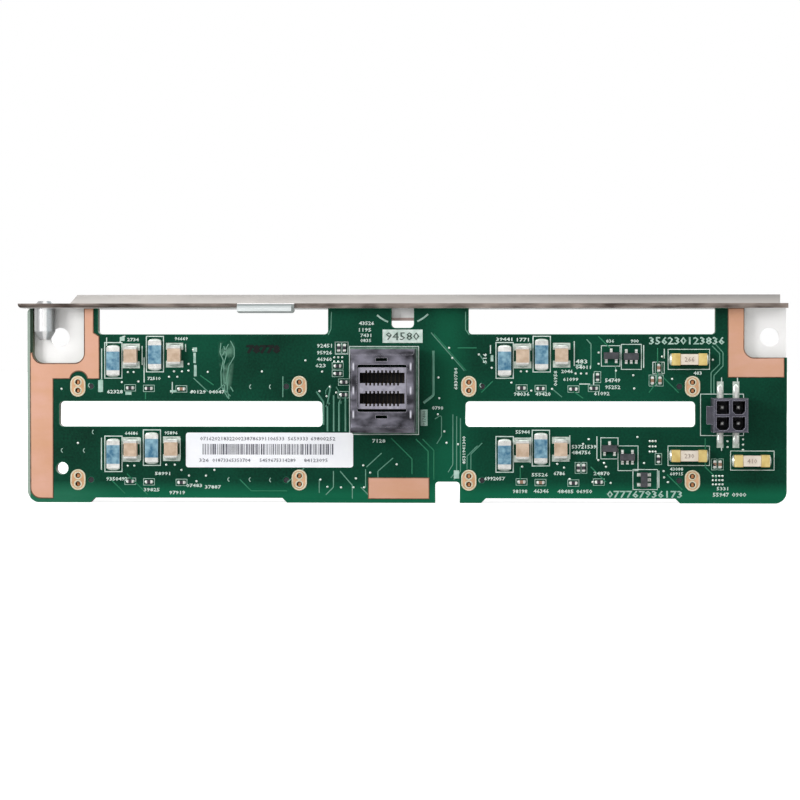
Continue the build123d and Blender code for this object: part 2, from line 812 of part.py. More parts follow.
# Drive receptacles: a slotted nose between two guide posts, contacts, and metal locks through the board
for number, (bay_centre, bay_row) in enumerate(bays, start=1):
    contact_rows = ((-1, signal_xs + power_xs), (1, signal_xs))
    ends = [(bay_centre + side * lock_span / 2, bay_row) for side in (-1, 1)]
    with BuildPart() as drive_receptacle:
        with BuildSketch(drive_side):
            with Locations((bay_centre, bay_row)):
                Rectangle(lock_span + post_width, receptacle_height)
        extrude(amount=-base_depth)
        with BuildSketch(drive_side):
            with Locations((bay_centre, bay_row)):
                Rectangle(nose_width, receptacle_height)
        extrude(amount=-receptacle_depth)
        chamfer(drive_receptacle.faces().sort_by(Axis.Y)[-1].edges(), nose_edge)
        with BuildSketch(drive_side):
            with Locations(*ends):
                Rectangle(post_width, receptacle_height)
        extrude(amount=-post_depth + post_tip_length)
        with BuildSketch(Plane.XZ.offset(-post_depth + post_tip_length)):
            with Locations(*ends):
                Rectangle(post_width, receptacle_height)
        extrude(amount=-post_tip_length, taper=post_tip_draft)
        with BuildSketch(Plane.XZ.offset(-receptacle_depth)):
            with Locations((bay_centre, bay_row)):
                Rectangle(blade_slot_width, blade_slot_height)
            with Locations((bay_centre + blade_slot_width / 2, bay_row + blade_slot_height / 2)):
                Rectangle(key_width, key_height, align=(Align.MAX, Align.MAX))
        extrude(amount=blade_slot_depth, mode=Mode.SUBTRACT)
        with BuildSketch(drive_side):
            for side, places in contact_rows:
                with Locations(*[(bay_centre + x, bay_row + side * groove_outer) for x in places]):
                    Rectangle(
                        channel_width, contact_groove,
                        align=(Align.CENTER, Align.MAX if side > 0 else Align.MIN),
                    )
        extrude(amount=-receptacle_depth, mode=Mode.SUBTRACT)
        with BuildSketch(drive_side):
            for side, places in contact_rows:
                with Locations(*[(bay_centre + x, bay_row + side * groove_outer) for x in places]):
                    Rectangle(
                        channel_width, receptacle_height,
                        align=(Align.CENTER, Align.MIN if side > 0 else Align.MAX),
                    )
        extrude(amount=-contact_thickness - contact_clearance, mode=Mode.SUBTRACT)
        with BuildSketch(drive_side):
            with Locations(*ends):
                Rectangle(
                    lock_prong_thickness + 2 * lock_clearance, lock_pitch + lock_prong + 2 * lock_clearance
                )
        extrude(amount=-lock_bridge_height - lock_clearance, mode=Mode.SUBTRACT)
        with BuildSketch(drive_side):
            with Locations(*[(bay_centre + side * peg_span / 2, bay_row) for side in (-1, 1)]):
                Circle(peg_hole / 2 - peg_clearance)
        extrude(amount=board_thickness - peg_shy)
    finish(f"drive_receptacle_{number}", drive_receptacle)
    with BuildPart() as receptacle_contacts:
        for side, places in contact_rows:
            back = bay_row + side * (groove_outer - contact_clearance)
            front = back - side * contact_thickness
            foot_end = bay_row + side * (receptacle_height / 2 + contact_foot)
            with BuildSketch(*[Plane.YZ.offset(bay_centre + x - contact_width / 2) for x in places]):
                with BuildLine():
                    Polyline(
                        (0, foot_end),
                        (contact_thickness, foot_end),
                        (contact_thickness, back),
                        (contact_rise, back),
                        (contact_crest, back - side * contact_bow),
                        (contact_tip, back),
                        (contact_tip, front),
                        (contact_crest, front - side * contact_bow),
                        (contact_rise, front),
                        (0, front),
                        close=True,
                    )
                make_face()
            extrude(amount=contact_width)
    finish(f"receptacle_contacts_{number}", receptacle_contacts)
    with BuildPart() as receptacle_locks:
        with BuildSketch(drive_side):
            with Locations(*ends):
                Rectangle(lock_prong_thickness, lock_pitch + lock_prong)
        extrude(amount=-lock_bridge_height)
        with BuildSketch(drive_side):
            with Locations(*ends):
                with GridLocations(0, lock_pitch, 1, 2):
                    Rectangle(lock_prong_thickness, lock_prong)
        extrude(amount=board_thickness - lock_shy)
    finish(f"receptacle_locks_{number}", receptacle_locks)

# Status light chips beside each receptacle, seen through the drive's light pipes
with BuildPart() as status_lights:
    with BuildSketch(drive_side):
        for bay_centre, bay_row in bays:
            with Locations((bay_centre + lock_span / 2 + led_gap, bay_row)):
                with GridLocations(0, 2 * led_spread, 1, 2):
                    Rectangle(led_length, led_width)
    extrude(amount=-led_base)
    with BuildSketch(Plane.XZ.offset(-led_base)):
        for bay_centre, bay_row in bays:
            with Locations((bay_centre + lock_span / 2 + led_gap, bay_row)):
                with GridLocations(0, 2 * led_spread, 1, 2):
                    Rectangle(led_length - 2 * led_lens_inset, led_width)
    extrude(amount=-led_lens_height, taper=led_lens_draft)
finish("status_lights", status_lights)
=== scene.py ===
import math
import random

import bpy
from mathutils import Matrix, Vector


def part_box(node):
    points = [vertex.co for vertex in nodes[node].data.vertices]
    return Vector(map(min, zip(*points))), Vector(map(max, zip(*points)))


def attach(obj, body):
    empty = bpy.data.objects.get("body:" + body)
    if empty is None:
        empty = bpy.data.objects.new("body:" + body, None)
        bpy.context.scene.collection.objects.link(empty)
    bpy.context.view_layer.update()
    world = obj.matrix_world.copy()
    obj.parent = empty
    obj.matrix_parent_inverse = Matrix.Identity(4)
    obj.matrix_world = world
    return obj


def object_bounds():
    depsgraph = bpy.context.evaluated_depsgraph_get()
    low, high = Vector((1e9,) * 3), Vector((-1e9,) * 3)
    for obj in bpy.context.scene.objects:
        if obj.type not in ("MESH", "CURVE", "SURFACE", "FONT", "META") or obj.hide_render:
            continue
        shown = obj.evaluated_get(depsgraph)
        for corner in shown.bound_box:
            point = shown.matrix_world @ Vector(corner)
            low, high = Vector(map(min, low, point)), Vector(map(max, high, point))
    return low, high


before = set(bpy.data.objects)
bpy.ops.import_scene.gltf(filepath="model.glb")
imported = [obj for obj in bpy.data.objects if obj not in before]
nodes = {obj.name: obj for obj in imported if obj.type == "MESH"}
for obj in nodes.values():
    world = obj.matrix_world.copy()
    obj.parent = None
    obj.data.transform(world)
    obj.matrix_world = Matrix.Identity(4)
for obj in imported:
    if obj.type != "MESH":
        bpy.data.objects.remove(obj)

cad_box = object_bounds()
scene = bpy.context.scene
scene.view_settings.view_transform = "Standard"


# The viewpoint: a long lens about 600 mm in front of the board, a little right of its middle, aimed at the
# middle of the board, as the photograph was taken.
mm = 0.001


def placed(name, data):
    """An object put into the scene."""
    thing = bpy.data.objects.new(name, data)
    scene.collection.objects.link(thing)
    return thing


def aimed(thing, place, target):
    """Put a camera or a lamp at its place, turned to its target."""
    thing.location = place
    thing.rotation_euler = (Vector(target) - Vector(place)).to_track_quat("-Z", "Y").to_euler()


viewpoint = bpy.data.cameras.new("viewpoint")
viewpoint.lens = 141.6
viewpoint.clip_start = 10 * mm
scene.camera = placed("viewpoint", viewpoint)
aimed(scene.camera, (0.091, -0.602, -0.003), (0.0655, -0.0024, -0.012))


# The studio: a pale floor under the board's lower edge, white surroundings, one soft lamp from the left and
# above, and weaker ones from the right and from behind.
white = (1, 1, 1, 1)
lamps = {
    "lamp_left": ((-0.52, -0.66, 0.16), 0.28, 4.0), "lamp_above": ((0.05, -0.62, 0.50), 0.5, 1.1),
    "lamp_right": ((0.75, -0.60, 0.40), 0.5, 1.9), "lamp_behind": ((0.1, 0.80, 0.35), 0.6, 2.6),
}
for name, (lamp_place, width, power) in lamps.items():
    lamp = bpy.data.lights.new(name, "AREA")
    lamp.shape = "SQUARE"
    lamp.size = width
    lamp.energy = power
    aimed(placed(name, lamp), lamp_place, (0.06, 0.0, -0.01))


def node(tree, kind, *given, **settings):
    """The outputs of a new node. Its inputs are numbers, colours, or the outputs that feed them."""
    made = tree.nodes.new(kind)
    for setting, value in settings.items():
        setattr(made, setting, value)
    for slot, value in given:
        if isinstance(value, bpy.types.NodeSocket):
            tree.links.new(value, made.inputs[slot])
        else:
            made.inputs[slot].default_value = value
    return made.outputs


def counted(tree, operation, first, second=0.0):
    """One sum of two values, each a number or an output."""
    return node(tree, "ShaderNodeMath", (0, first), (1, second), operation=operation)[0]


def new_material(name):
    """An empty node material, ready for its shader."""
    material = bpy.data.materials.new(name)
    material.use_nodes = True
    material.node_tree.nodes.clear()
    return material


scene.world = bpy.data.worlds.new("surroundings")
scene.world.use_nodes = True
sky = scene.world.node_tree
sky.nodes.clear()
rays = node(sky, "ShaderNodeLightPath")
seen = counted(sky, "MAXIMUM", rays["Is Camera Ray"], rays["Is Glossy Ray"])
seen = counted(sky, "MAXIMUM", seen, rays["Is Transmission Ray"])
fill = node(sky, "ShaderNodeBackground", ("Color", white), ("Strength", 0.38))
backdrop = node(sky, "ShaderNodeBackground", ("Color", white))
around = node(sky, "ShaderNodeMixShader", (0, seen), (1, fill[0]), (2, backdrop[0]))
node(sky, "ShaderNodeOutputWorld", ("Surface", around[0]))

floor_half = 4.0
floor_sides = ((-1, -1), (1, -1), (1, 1), (-1, 1))
floor_mesh = bpy.data.meshes.new("studio_floor")
floor_verts = [(x * floor_half, y * floor_half, cad_box[0][2]) for x, y in floor_sides]
floor_mesh.from_pydata(floor_verts, [], [(0, 1, 2, 3)])
floor = placed("studio_floor", floor_mesh)
pale_floor = new_material("pale_floor")
floor_tree = pale_floor.node_tree
lift = counted(floor_tree, "MULTIPLY", node(floor_tree, "ShaderNodeLightPath")["Is Camera Ray"], 0.8)
floor_shader = node(floor_tree, "ShaderNodeBsdfPrincipled", ("Base Color", (0.86, 0.86, 0.86, 1)),
                    ("Roughness", 0.9), ("Specular IOR Level", 0.1), ("Emission Color", white),
                    ("Emission Strength", lift))
node(floor_tree, "ShaderNodeOutputMaterial", ("Surface", floor_shader[0]))
floor_mesh.materials.append(pale_floor)


# Circuit board: glass and resin laminate, 2.4 mm thick, under green solder mask on both faces. Its outline
# and slots are routed, so the walls show the bare layers.
board_face = -2.4 * mm
photo_scale = 0.181 * mm
photo_zero = (57.4, 333.6)


def paint(code):
    """A screen colour of six hex digits, as the linear colour that a shader takes."""
    parts = [int(code[i:i + 2], 16) / 255 for i in (0, 2, 4)]
    return [c / 12.92 if c < 0.04045 else ((c + 0.055) / 1.055) ** 2.4 for c in parts] + [1.0]


def new_tree(name, family, inputs, outputs):
    """A node tree with named inputs and outputs, and the sockets that its inputs give."""
    tree = bpy.data.node_groups.new(name, family + "NodeTree")
    for way, sockets in (("INPUT", inputs), ("OUTPUT", outputs)):
        for label, kind, *value in sockets:
            socket = tree.interface.new_socket(label, in_out=way, socket_type="NodeSocket" + kind)
            if value:
                socket.default_value = value[0]
    return tree, node(tree, "NodeGroupInput")


def ranged(tree, value, low, high):
    """A value spread to 0..1 between two ends."""
    return node(tree, "ShaderNodeMapRange", ("Value", value), ("From Min", low), ("From Max", high))[0]


def grain_group():
    """Uneven colour of a real surface: soft blotches, and a fine grain over them."""
    scales = (("Blotch Scale", "Float", 300.0), ("Grain Scale", "Float", 4000.0), ("Stretch", "Float", 1.0))
    tree, given = new_tree("uneven_surface", "Shader", scales, (("Blotch", "Float"), ("Grain", "Float")))
    squeeze = node(tree, "ShaderNodeCombineXYZ", (0, given["Stretch"]), (1, 1.0), (2, 1.0))
    place = node(tree, "ShaderNodeTexCoord")["Object"]
    stretched = node(tree, "ShaderNodeVectorMath", (0, place), (1, squeeze[0]), operation="MULTIPLY")
    results = []
    for result, detail in (("Blotch", 3.0), ("Grain", 2.0)):
        noise = node(tree, "ShaderNodeTexNoise", ("Vector", stretched[0]),
                     ("Scale", given[result + " Scale"]), ("Detail", detail))
        results.append((result, ranged(tree, noise["Fac"], 0.32, 0.68)))
    node(tree, "NodeGroupOutput", *results)
    return tree


def edge_group():
    """Edges: one where a surface turns within a small radius. On some finishes they are rubbed or thinly
    covered, on some they carry a painted highlight, and on some painted shade.
    """
    tree, given = new_tree("worn_and_lit_edges", "Shader", (("Radius", "Float", 0.1 * mm),), (("Wear", "Float"),))
    rounded = node(tree, "ShaderNodeBevel", ("Radius", given["Radius"]), samples=6)
    plain = node(tree, "ShaderNodeNewGeometry")["Normal"]
    meet = node(tree, "ShaderNodeVectorMath", (0, rounded[0]), (1, plain), operation="DOT_PRODUCT")
    node(tree, "NodeGroupOutput", ("Wear", ranged(tree, meet["Value"], 0.99, 0.8)))
    return tree


uneven = grain_group()
edge_wear_and_light = edge_group()


def grain_of(tree, blotch=300.0, grain=4000.0, stretch=1.0):
    """The uneven surface placed in a material, at its own scales."""
    return node(tree, "ShaderNodeGroup", ("Blotch Scale", blotch), ("Grain Scale", grain),
                ("Stretch", stretch), node_tree=uneven)


def rim_of(tree, radius):
    """The edge mask placed in a material, at its own radius, for rubbed edges, painted edge highlights and
    painted edge shade.
    """
    return node(tree, "ShaderNodeGroup", ("Radius", radius), node_tree=edge_wear_and_light)["Wear"]


def place_axes(tree):
    """Where a point of the surface lies, in X, Y and Z."""
    return node(tree, "ShaderNodeSeparateXYZ", (0, node(tree, "ShaderNodeTexCoord")["Object"]))


def facing_axes(tree):
    """Which way the surface faces, in X, Y and Z."""
    return node(tree, "ShaderNodeSeparateXYZ", (0, node(tree, "ShaderNodeNewGeometry")["Normal"]))


def above(tree, value, limit):
    """One where a value is more than its limit."""
    return counted(tree, "GREATER_THAN", value, limit)


def below(tree, value, limit):
    """One where a value is less than its limit."""
    return counted(tree, "LESS_THAN", value, limit)


def apart(tree, value, middle):
    """How far a value lies from a middle, on either side."""
    return counted(tree, "ABSOLUTE", counted(tree, "SUBTRACT", value, middle))


def product(tree, share, *others):
    """Shares multiplied together."""
    for other in others:
        share = counted(tree, "MULTIPLY", share, other)
    return share


def mixed(tree, share, first, second):
    """Colour between two colours or colour outputs, by a share from 0 to 1."""
    return node(tree, "ShaderNodeMix", (0, share), (6, first), (7, second), data_type="RGBA")[2]


def tinted(tree, colour, code, *shares):
    """A colour turned towards a screen colour, by the product of some shares."""
    return mixed(tree, product(tree, *shares), colour, paint(code))


def finish(name, colour_of, rough, blotch=300.0, grain=4000.0, stretch=1.0, metal=0.0, bump=0.02,
           specular=0.5):
    """A material whose colour comes from a function, with grain in its gloss and its relief."""
    material = new_material(name)
    tree = material.node_tree
    texture = grain_of(tree, blotch, grain, stretch)
    gloss = node(tree, "ShaderNodeMapRange", ("Value", texture["Grain"]), ("To Min", max(rough - 0.08, 0.05)),
                 ("To Max", rough + 0.08))
    relief = node(tree, "ShaderNodeBump", ("Strength", bump * 10), ("Distance", 0.02 * mm),
                  ("Height", texture["Grain"]))
    shader = node(tree, "ShaderNodeBsdfPrincipled", ("Base Color", colour_of(tree, texture)),
                  ("Roughness", gloss[0]), ("Metallic", metal), ("Specular IOR Level", specular),
                  ("Normal", relief[0]))
    node(tree, "ShaderNodeOutputMaterial", ("Surface", shader[0]))
    return material


def surface(name, dark, light, rough, edge=None, edge_radius=0.12 * mm, **feel):
    """A finish in two close tones, with paler or darker edges."""
    def two_tones(tree, texture):
        """The tones in blotches, and the edge colour, which is rubbed wear on some finishes, a painted
        highlight on some and painted shade on others.
        """
        colour = mixed(tree, texture["Blotch"], paint(dark), paint(light))
        return tinted(tree, colour, edge, rim_of(tree, edge_radius)) if edge else colour

    return finish(name, two_tones, rough, **feel)


def dress(names, material):
    """Give CAD nodes their finish."""
    for name in names:
        mesh = nodes[name].data
        if not mesh.materials:
            mesh.materials.append(material)
        for held in nodes[name].material_slots:
            held.link = "OBJECT"
            held.material = material


def board_colour(tree, texture):
    """Green mask over the faces, darker over the planes of copper, with a strip of painted shade beside the
    left tab, and bare layers on the routed walls.
    """
    x, _, z = place_axes(tree)
    facing = facing_axes(tree)["Y"]
    low_edge = ranged(tree, z, -27.5 * mm, -30.0 * mm)
    left_end = ranged(tree, x, 12.0 * mm, 2.0 * mm)
    by_port = ranged(tree, apart(tree, x, 74.5 * mm), 5.0 * mm, 1.0 * mm)
    # Painted shade: a dark strip on the mask along the cut-out of the left tab.
    painted_shade_by_tab = product(tree, below(tree, x, -4.85 * mm), above(tree, z, -3.3 * mm))
    mask = mixed(tree, texture["Blotch"], paint("02251A"), paint("064230"))
    mask = tinted(tree, mask, "10694A", low_edge, 0.7)
    mask = tinted(tree, mask, "2C6C54", low_edge, left_end, 0.6)
    mask = tinted(tree, mask, "0E6A4A", texture["Grain"], 0.16)
    mask = tinted(tree, mask, "2C7C5E", rim_of(tree, 0.4 * mm), 0.6)
    mask = tinted(tree, mask, "10694A", by_port, 0.35)
    mask = tinted(tree, mask, "30382E", painted_shade_by_tab, 0.8)
    mask = tinted(tree, mask, "A3B3A8", below(tree, x, -5.45 * mm), 0.85)
    narrowing = product(tree, ranged(tree, z, -3.5 * mm, -11.0 * mm), 0.8 * mm)
    smear_side = ranged(tree, counted(tree, "ADD", apart(tree, x, 32.3 * mm), narrowing), 1.7 * mm, 0.8 * mm)
    smear_end = ranged(tree, apart(tree, z, -6.2 * mm), 5.6 * mm, 4.0 * mm)
    residue = ranged(tree, grain_of(tree, blotch=520.0)["Blotch"], 0.25, 0.85)
    mask = tinted(tree, mask, "7FAE97", smear_side, smear_end, residue, below(tree, facing, -0.5), 0.45)
    place = node(tree, "ShaderNodeTexCoord")["Object"]
    layers = node(tree, "ShaderNodeTexWave", ("Vector", place), ("Scale", 900.0), ("Distortion", 1.5),
                  bands_direction="Y")
    wall = mixed(tree, layers["Fac"], paint("2C3A28"), paint("6E7250"))
    return mixed(tree, above(tree, counted(tree, "ABSOLUTE", facing), 0.5), wall, mask)


dress(["circuit_board"], finish("masked_laminate", board_colour, 0.42, blotch=55.0, grain=2500.0, bump=0.01,
                                specular=0.08))


# Copper traces: etched lines under the mask, which show as paler raised lines. They run from the data port
# and the drive bays to the plated holes, the widest of them along the slot and beside the port.
def spot(px, py):
    """A point of the photograph as a point in the plane of the board's face."""
    return ((px - photo_zero[0]) * photo_scale, (photo_zero[1] - py) * photo_scale)


def laid_line_tree():
    """Lines drawn flat on the board: each path becomes a strip of one width and thickness."""
    sizes = (("Geometry", "Geometry"), ("Width", "Float", 0.2 * mm), ("Thickness", "Float", 0.03 * mm),
             ("Corner", "Float", 0.0), ("Finish", "Material"))
    tree, given = new_tree("laid_lines", "Geometry", sizes, (("Geometry", "Geometry"),))
    paths = node(tree, "GeometryNodeMeshToCurve", (0, given["Geometry"]))
    eased = node(tree, "GeometryNodeFilletCurve", ("Curve", paths[0]), ("Radius", given["Corner"]),
                 ("Count", 3), mode="POLY")
    upright = node(tree, "GeometryNodeSetCurveNormal", (0, eased[0]), mode="Z_UP")
    strip = node(tree, "GeometryNodeCurvePrimitiveQuadrilateral", ("Width", given["Width"]),
                 ("Height", given["Thickness"]))
    sweep = node(tree, "GeometryNodeCurveToMesh", ("Curve", upright[0]), ("Profile Curve", strip[0]),
                 ("Fill Caps", True))
    real = node(tree, "GeometryNodeRealizeInstances", (0, sweep[0]))
    coated = node(tree, "GeometryNodeSetMaterial", ("Geometry", real[0]), ("Material", given["Finish"]))
    node(tree, "NodeGroupOutput", ("Geometry", coated[0]))
    return tree


def worked_out(holder):
    """The plain mesh that an object with a modifier or a row of type comes to."""
    bpy.context.view_layer.update()
    mesh = bpy.data.meshes.new_from_object(holder.evaluated_get(bpy.context.evaluated_depsgraph_get()))
    holder.modifiers.clear()
    bpy.data.objects.remove(holder)
    return mesh


def grown(name, source, tree, **values):
    """Run a geometry tree on a mesh, and keep the result as a plain object."""
    holder = placed(name + "_start", source)
    modifier = holder.modifiers.new("grow", "NODES")
    modifier.node_group = tree
    for item in tree.interface.items_tree:
        if item.item_type == "SOCKET" and item.in_out == "INPUT" and item.name in values:
            modifier[item.identifier] = values[item.name]
    mesh = worked_out(holder)
    mesh.name = name
    return placed(name, mesh)


def settled(piece, level=None):
    """Let a piece ride on the board. One drawn flat stands up first, at a level in Y."""
    if level is not None:
        piece.data.transform(Matrix.Translation((0, level, 0)) @ Matrix.Rotation(math.radians(90), 4, "X"))
    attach(piece, "root")


def paths_mesh(name, paths, closed=False):
    """Drawn paths as bare edges."""
    verts = []
    edges = []
    for path in paths:
        first = len(verts)
        verts += [(x, y, 0.0) for x, y in path]
        edges += [(i, i + 1) for i in range(first, len(verts) - 1)]
        if closed:
            edges.append((len(verts) - 1, first))
    mesh = bpy.data.meshes.new(name)
    mesh.from_pydata(verts, edges, [])
    return mesh


laid_lines = laid_line_tree()


def strips(name, drawn, width, thickness, material, level=board_face, corner=0.0):
    """Lines laid on a face of the board, along the edges of a flat drawing."""
    piece = grown(name, drawn, laid_lines, Width=width, Thickness=thickness, Corner=corner, Finish=material)
    settled(piece, level)


def laid(name, paths, width, thickness, material, closed=False, corner=0.0):
    """Lines laid on the board's face, from their points in the photograph."""
    drawn = paths_mesh(name + "_paths", [[spot(*p) for p in path] for path in paths], closed)
    strips(name, drawn, width, thickness, material, corner=corner)


trace_colour = surface("trace_under_mask", "4E8570", "6C9A87", 0.45, blotch=200.0, grain=3000.0, specular=0.2)
trace_faint = surface("faint_trace", "1E6B4C", "2F7C5C", 0.45, blotch=200.0, grain=3000.0, specular=0.15)
trace_height = 0.05 * mm
traces = [
    ((352, 386), (357, 395), (357, 404)), ((341, 394), (341, 390), (346, 384)),
    ((475, 415), (475, 468), (470, 476)), ((479, 417), (479, 474), (473, 482)),
    ((483, 419), (483, 475), (476, 484)), ((456, 420), (463, 415), (463, 438), (458, 446)),
    ((452, 329), (487, 369)), ((615.5, 336), (620.2, 341), (620.2, 366)), ((579.4, 388), (589.8, 396.8)),
    ((747, 343), (755, 351), (755, 362), (746, 371), (746, 393)),
    ((750.5, 341), (758.5, 350), (758.5, 364), (749, 374), (749, 393)),
    ((646, 364), (646, 377)), ((503, 352), (510, 362)), ((201, 377), (216, 391)),
    ((349, 475), (349, 492), (341, 500)), ((356, 475), (369, 490), (369, 504)), ((383, 473), (383, 492)),
    ((399.8, 456), (384, 470.6)), ((412, 461), (396, 475), (396, 492)), ((300, 487), (318, 472)),
    ((378, 492), (390, 504)), ((501, 448), (490, 459), (490, 473)), ((506, 445), (494, 457), (494, 473)),
    ((334, 484), (334, 498)),
]
port_traces = [
    ((331, 391), (338.6, 402), (338.6, 426)), ((346, 386), (342.8, 404), (342.8, 433)),
    ((349.4, 395), (349.4, 433)), ((358, 397), (355, 403), (355, 433)), ((361.8, 392), (361.8, 433)),
    ((345, 403), (341, 407)),
]
rubbed_marks = [
    ((230, 340), (229, 350), (232.5, 358), (230, 370), (230.5, 386), (237.5, 398)), ((225, 391), (236, 381)),
    ((240, 337.5), (244, 345), (244.2, 354), (238.5, 364), (236.4, 376), (236.8, 390), (238.5, 399)),
    ((233, 343), (236, 352), (233, 362), (233.6, 380)), ((231.5, 353), (235, 347), (238, 341)),
    ((234, 366), (233, 378), (234.6, 392)), ((240, 386), (243, 391)), ((240, 396), (231, 386)),
    ((347, 307), (346.4, 325), (343.6, 331.2)), ((488.4, 307), (488.4, 326), (492.4, 331.2)),
    ((295.6, 375), (295.6, 397)),
]
wide_traces = [((454.4, 348), (454.4, 395), (444, 403)), ((103, 378), (101.5, 392))]
faint_traces = [
    ((455, 330), (489, 369)), ((208, 374), (222, 384)), ((150, 392), (150, 399)), ((480, 345), (500, 345)),
    ((690, 345), (690, 380), (681, 392)), ((696, 376), (712, 392)), ((620, 470), (636, 486)),
    ((700, 478), (716, 494)), ((546, 470), (546, 484)), ((250, 484), (262, 496), (300, 496)),
    ((110, 481), (128, 499)), ((130, 478), (152, 500)), ((410, 440), (432, 462), (432, 478)),
    ((436, 441), (449, 454), (449, 500)), ((443, 441), (455, 453), (455, 484)), ((640, 345), (628, 333)),
    ((517, 380), (505, 392)), ((598, 388), (612, 398)), ((740, 440), (740, 470), (752, 482)),
]
laid("traces", traces, 0.2 * mm, trace_height, trace_colour, corner=0.3 * mm)
laid("port_traces", port_traces, 0.34 * mm, trace_height, trace_colour, corner=0.3 * mm)
laid("rubbed_marks", rubbed_marks, 0.2 * mm, trace_height, trace_colour, corner=0.5 * mm)
laid("wide_traces", wide_traces, 0.5 * mm, trace_height, trace_colour, corner=0.5 * mm)
laid("faint_traces", faint_traces, 0.22 * mm, 0.04 * mm, trace_faint, corner=0.3 * mm)


# Marking ink: white epoxy printed on the mask, as frames round the parts, thick bars, plain numbers and the
# arc round the middle notch. A square plate and a pill of solid ink carry darker numbers.
def printed(name, dark, light, rough=0.7, blotch=900.0):
    """A printed ink in two close tones."""
    return surface(name, dark, light, rough, blotch=blotch, grain=6000.0, specular=0.2)


def corners(left, right, top, low):
    """Corners of a frame, from its sides."""
    return ((left, top), (right, top), (right, low), (left, low))


def arc(middle, radius, angles):
    """Points round a middle, at angles in degrees."""
    turns = [math.radians(angle) for angle in angles]
    return [(middle[0] + radius * math.cos(turn), middle[1] + radius * math.sin(turn)) for turn in turns]


ink = printed("marking_ink", "B7CCC2", "DCE7E1")
ink_dim = printed("thin_marking_ink", "8DB0A2", "B4CDC2")
band_ink = printed("worn_ink", "4E6E5F", "7C988A", blotch=1100.0)
ink_height = 0.03 * mm
ink_width = 0.2 * mm
part_frames = [
    (366.0, 438.9, 343.5, 436.2), (735, 780, 393.5, 437), (701, 744.4, 346.5, 367.6),
    (701, 744.5, 448, 468.5), (631, 650.7, 342.7, 364.2), (652, 673, 341.3, 367.6),
    (630.6, 648.6, 439.5, 461.7), (648.6, 669.6, 448, 474), (664.3, 689.9, 472.8, 493.9),
    (766.5, 812, 453.2, 473.3), (351, 364.4, 339, 351.6), (685, 697, 360, 372),
]
ink_lines = [
    ((146.4, 343), (146.4, 363)), ((148.5, 355), (148.5, 381.6)), ((103.4, 345.7), (103.4, 378.6)),
    ((108.7, 334), (108.7, 343)), ((122.5, 339.7), (125, 333.5), (128.5, 332.5)),
    ((178.4, 381), (178.4, 393)), ((192.5, 341), (192.5, 349)), ((555.6, 340), (555.6, 366)),
    ((602.6, 338), (602.6, 364)), ((144.4, 440), (144.4, 464)), ((186.6, 440), (186.6, 463)),
    ((556.6, 439), (556.6, 466)), ((598, 437), (598, 462)), ((607.9, 383), (619.3, 383)),
    ((623, 372), (623, 384)), ((626.5, 438), (626.5, 462)), ((675.4, 342), (675.4, 366)),
    ((697, 346), (697, 356)), ((757, 384), (757, 376)), ((773.6, 384), (773.6, 376)),
    ((757, 447), (757, 453)), ((691.5, 474), (691.5, 492)), ((103.0, 440), (103.0, 474)),
    ((514.6, 342), (514.6, 351)),
]
# Painted highlights: short pale crescents of thin ink beside the peg holes and round marks.
highlight_crescent_spots = [
    (262.5, 386), (283.5, 386), (239.5, 484), (262, 484), (283.6, 484.5), (62.5, 453.5), (86, 453.5),
    (95.5, 434), (505.7, 384.4), (504.6, 484.4), (91.5, 384.6),
]
notch_arcs = [arc((421.5, 281.0), 39.5, span) for span in (range(132, 108, -4), range(66, 44, -4))]
highlight_crescent_radius = 2.3
highlight_crescents = [arc(middle, highlight_crescent_radius, range(110, 251, 35)) for middle in highlight_crescent_spots]
laid("part_frames", [corners(*f) for f in part_frames], ink_width, ink_height, ink,
     closed=True)
laid("port_band", [corners(367.6, 437.0, 345.4, 434.4)], 0.44 * mm, 0.02 * mm, band_ink,
     closed=True)
laid("ink_lines", ink_lines, ink_width, ink_height, ink)
laid("notch_arcs", notch_arcs, 0.34 * mm, ink_height, ink_dim)
laid("painted_highlight_crescents", highlight_crescents, 0.16 * mm, ink_height, ink_dim)


def stamp_tree():
    """One small form, a block or a dome, set at many points at a size of its own."""
    options = (("Geometry", "Geometry"), ("Round", "Bool", False), ("Finish", "Material"))
    tree, given = new_tree("stamped", "Geometry", options, (("Geometry", "Geometry"),))
    block = node(tree, "GeometryNodeMeshCube")
    dome = node(tree, "GeometryNodeMeshUVSphere", ("Segments", 12), ("Rings", 8), ("Radius", 0.5))
    choice = node(tree, "GeometryNodeSwitch", ("Switch", given["Round"]), ("False", block["Mesh"]),
                  ("True", dome["Mesh"]), input_type="GEOMETRY")
    size = node(tree, "GeometryNodeInputNamedAttribute", ("Name", "size"), data_type="FLOAT_VECTOR")
    place = node(tree, "GeometryNodeInstanceOnPoints", ("Points", given["Geometry"]), ("Instance", choice[0]),
                 ("Scale", size[0]))
    real = node(tree, "GeometryNodeRealizeInstances", (0, place[0]))
    coated = node(tree, "GeometryNodeSetMaterial", ("Geometry", real[0]), ("Material", given["Finish"]))
    node(tree, "NodeGroupOutput", ("Geometry", coated[0]))
    return tree


stamped = stamp_tree()


def stamps(name, marks, material, rounded=False, level=None):
    """Small forms from their middles and sizes. With a level they are drawn flat and stood up."""
    mesh = bpy.data.meshes.new(name + "_points")
    mesh.from_pydata([middle for middle, _ in marks], [], [])
    sizes = mesh.attributes.new("size", "FLOAT_VECTOR", "POINT")
    for index, (_, size) in enumerate(marks):
        sizes.data[index].vector = size
    settled(grown(name, mesh, stamped, Round=rounded, Finish=material), level)


def bar(left, right, top, low):
    """A printed bar, from its sides in the photograph."""
    middle = (*spot((left + right) / 2, (top + low) / 2), 0.0)
    return (middle, ((right - left) * photo_scale, (low - top) * photo_scale, 2 * ink_height))


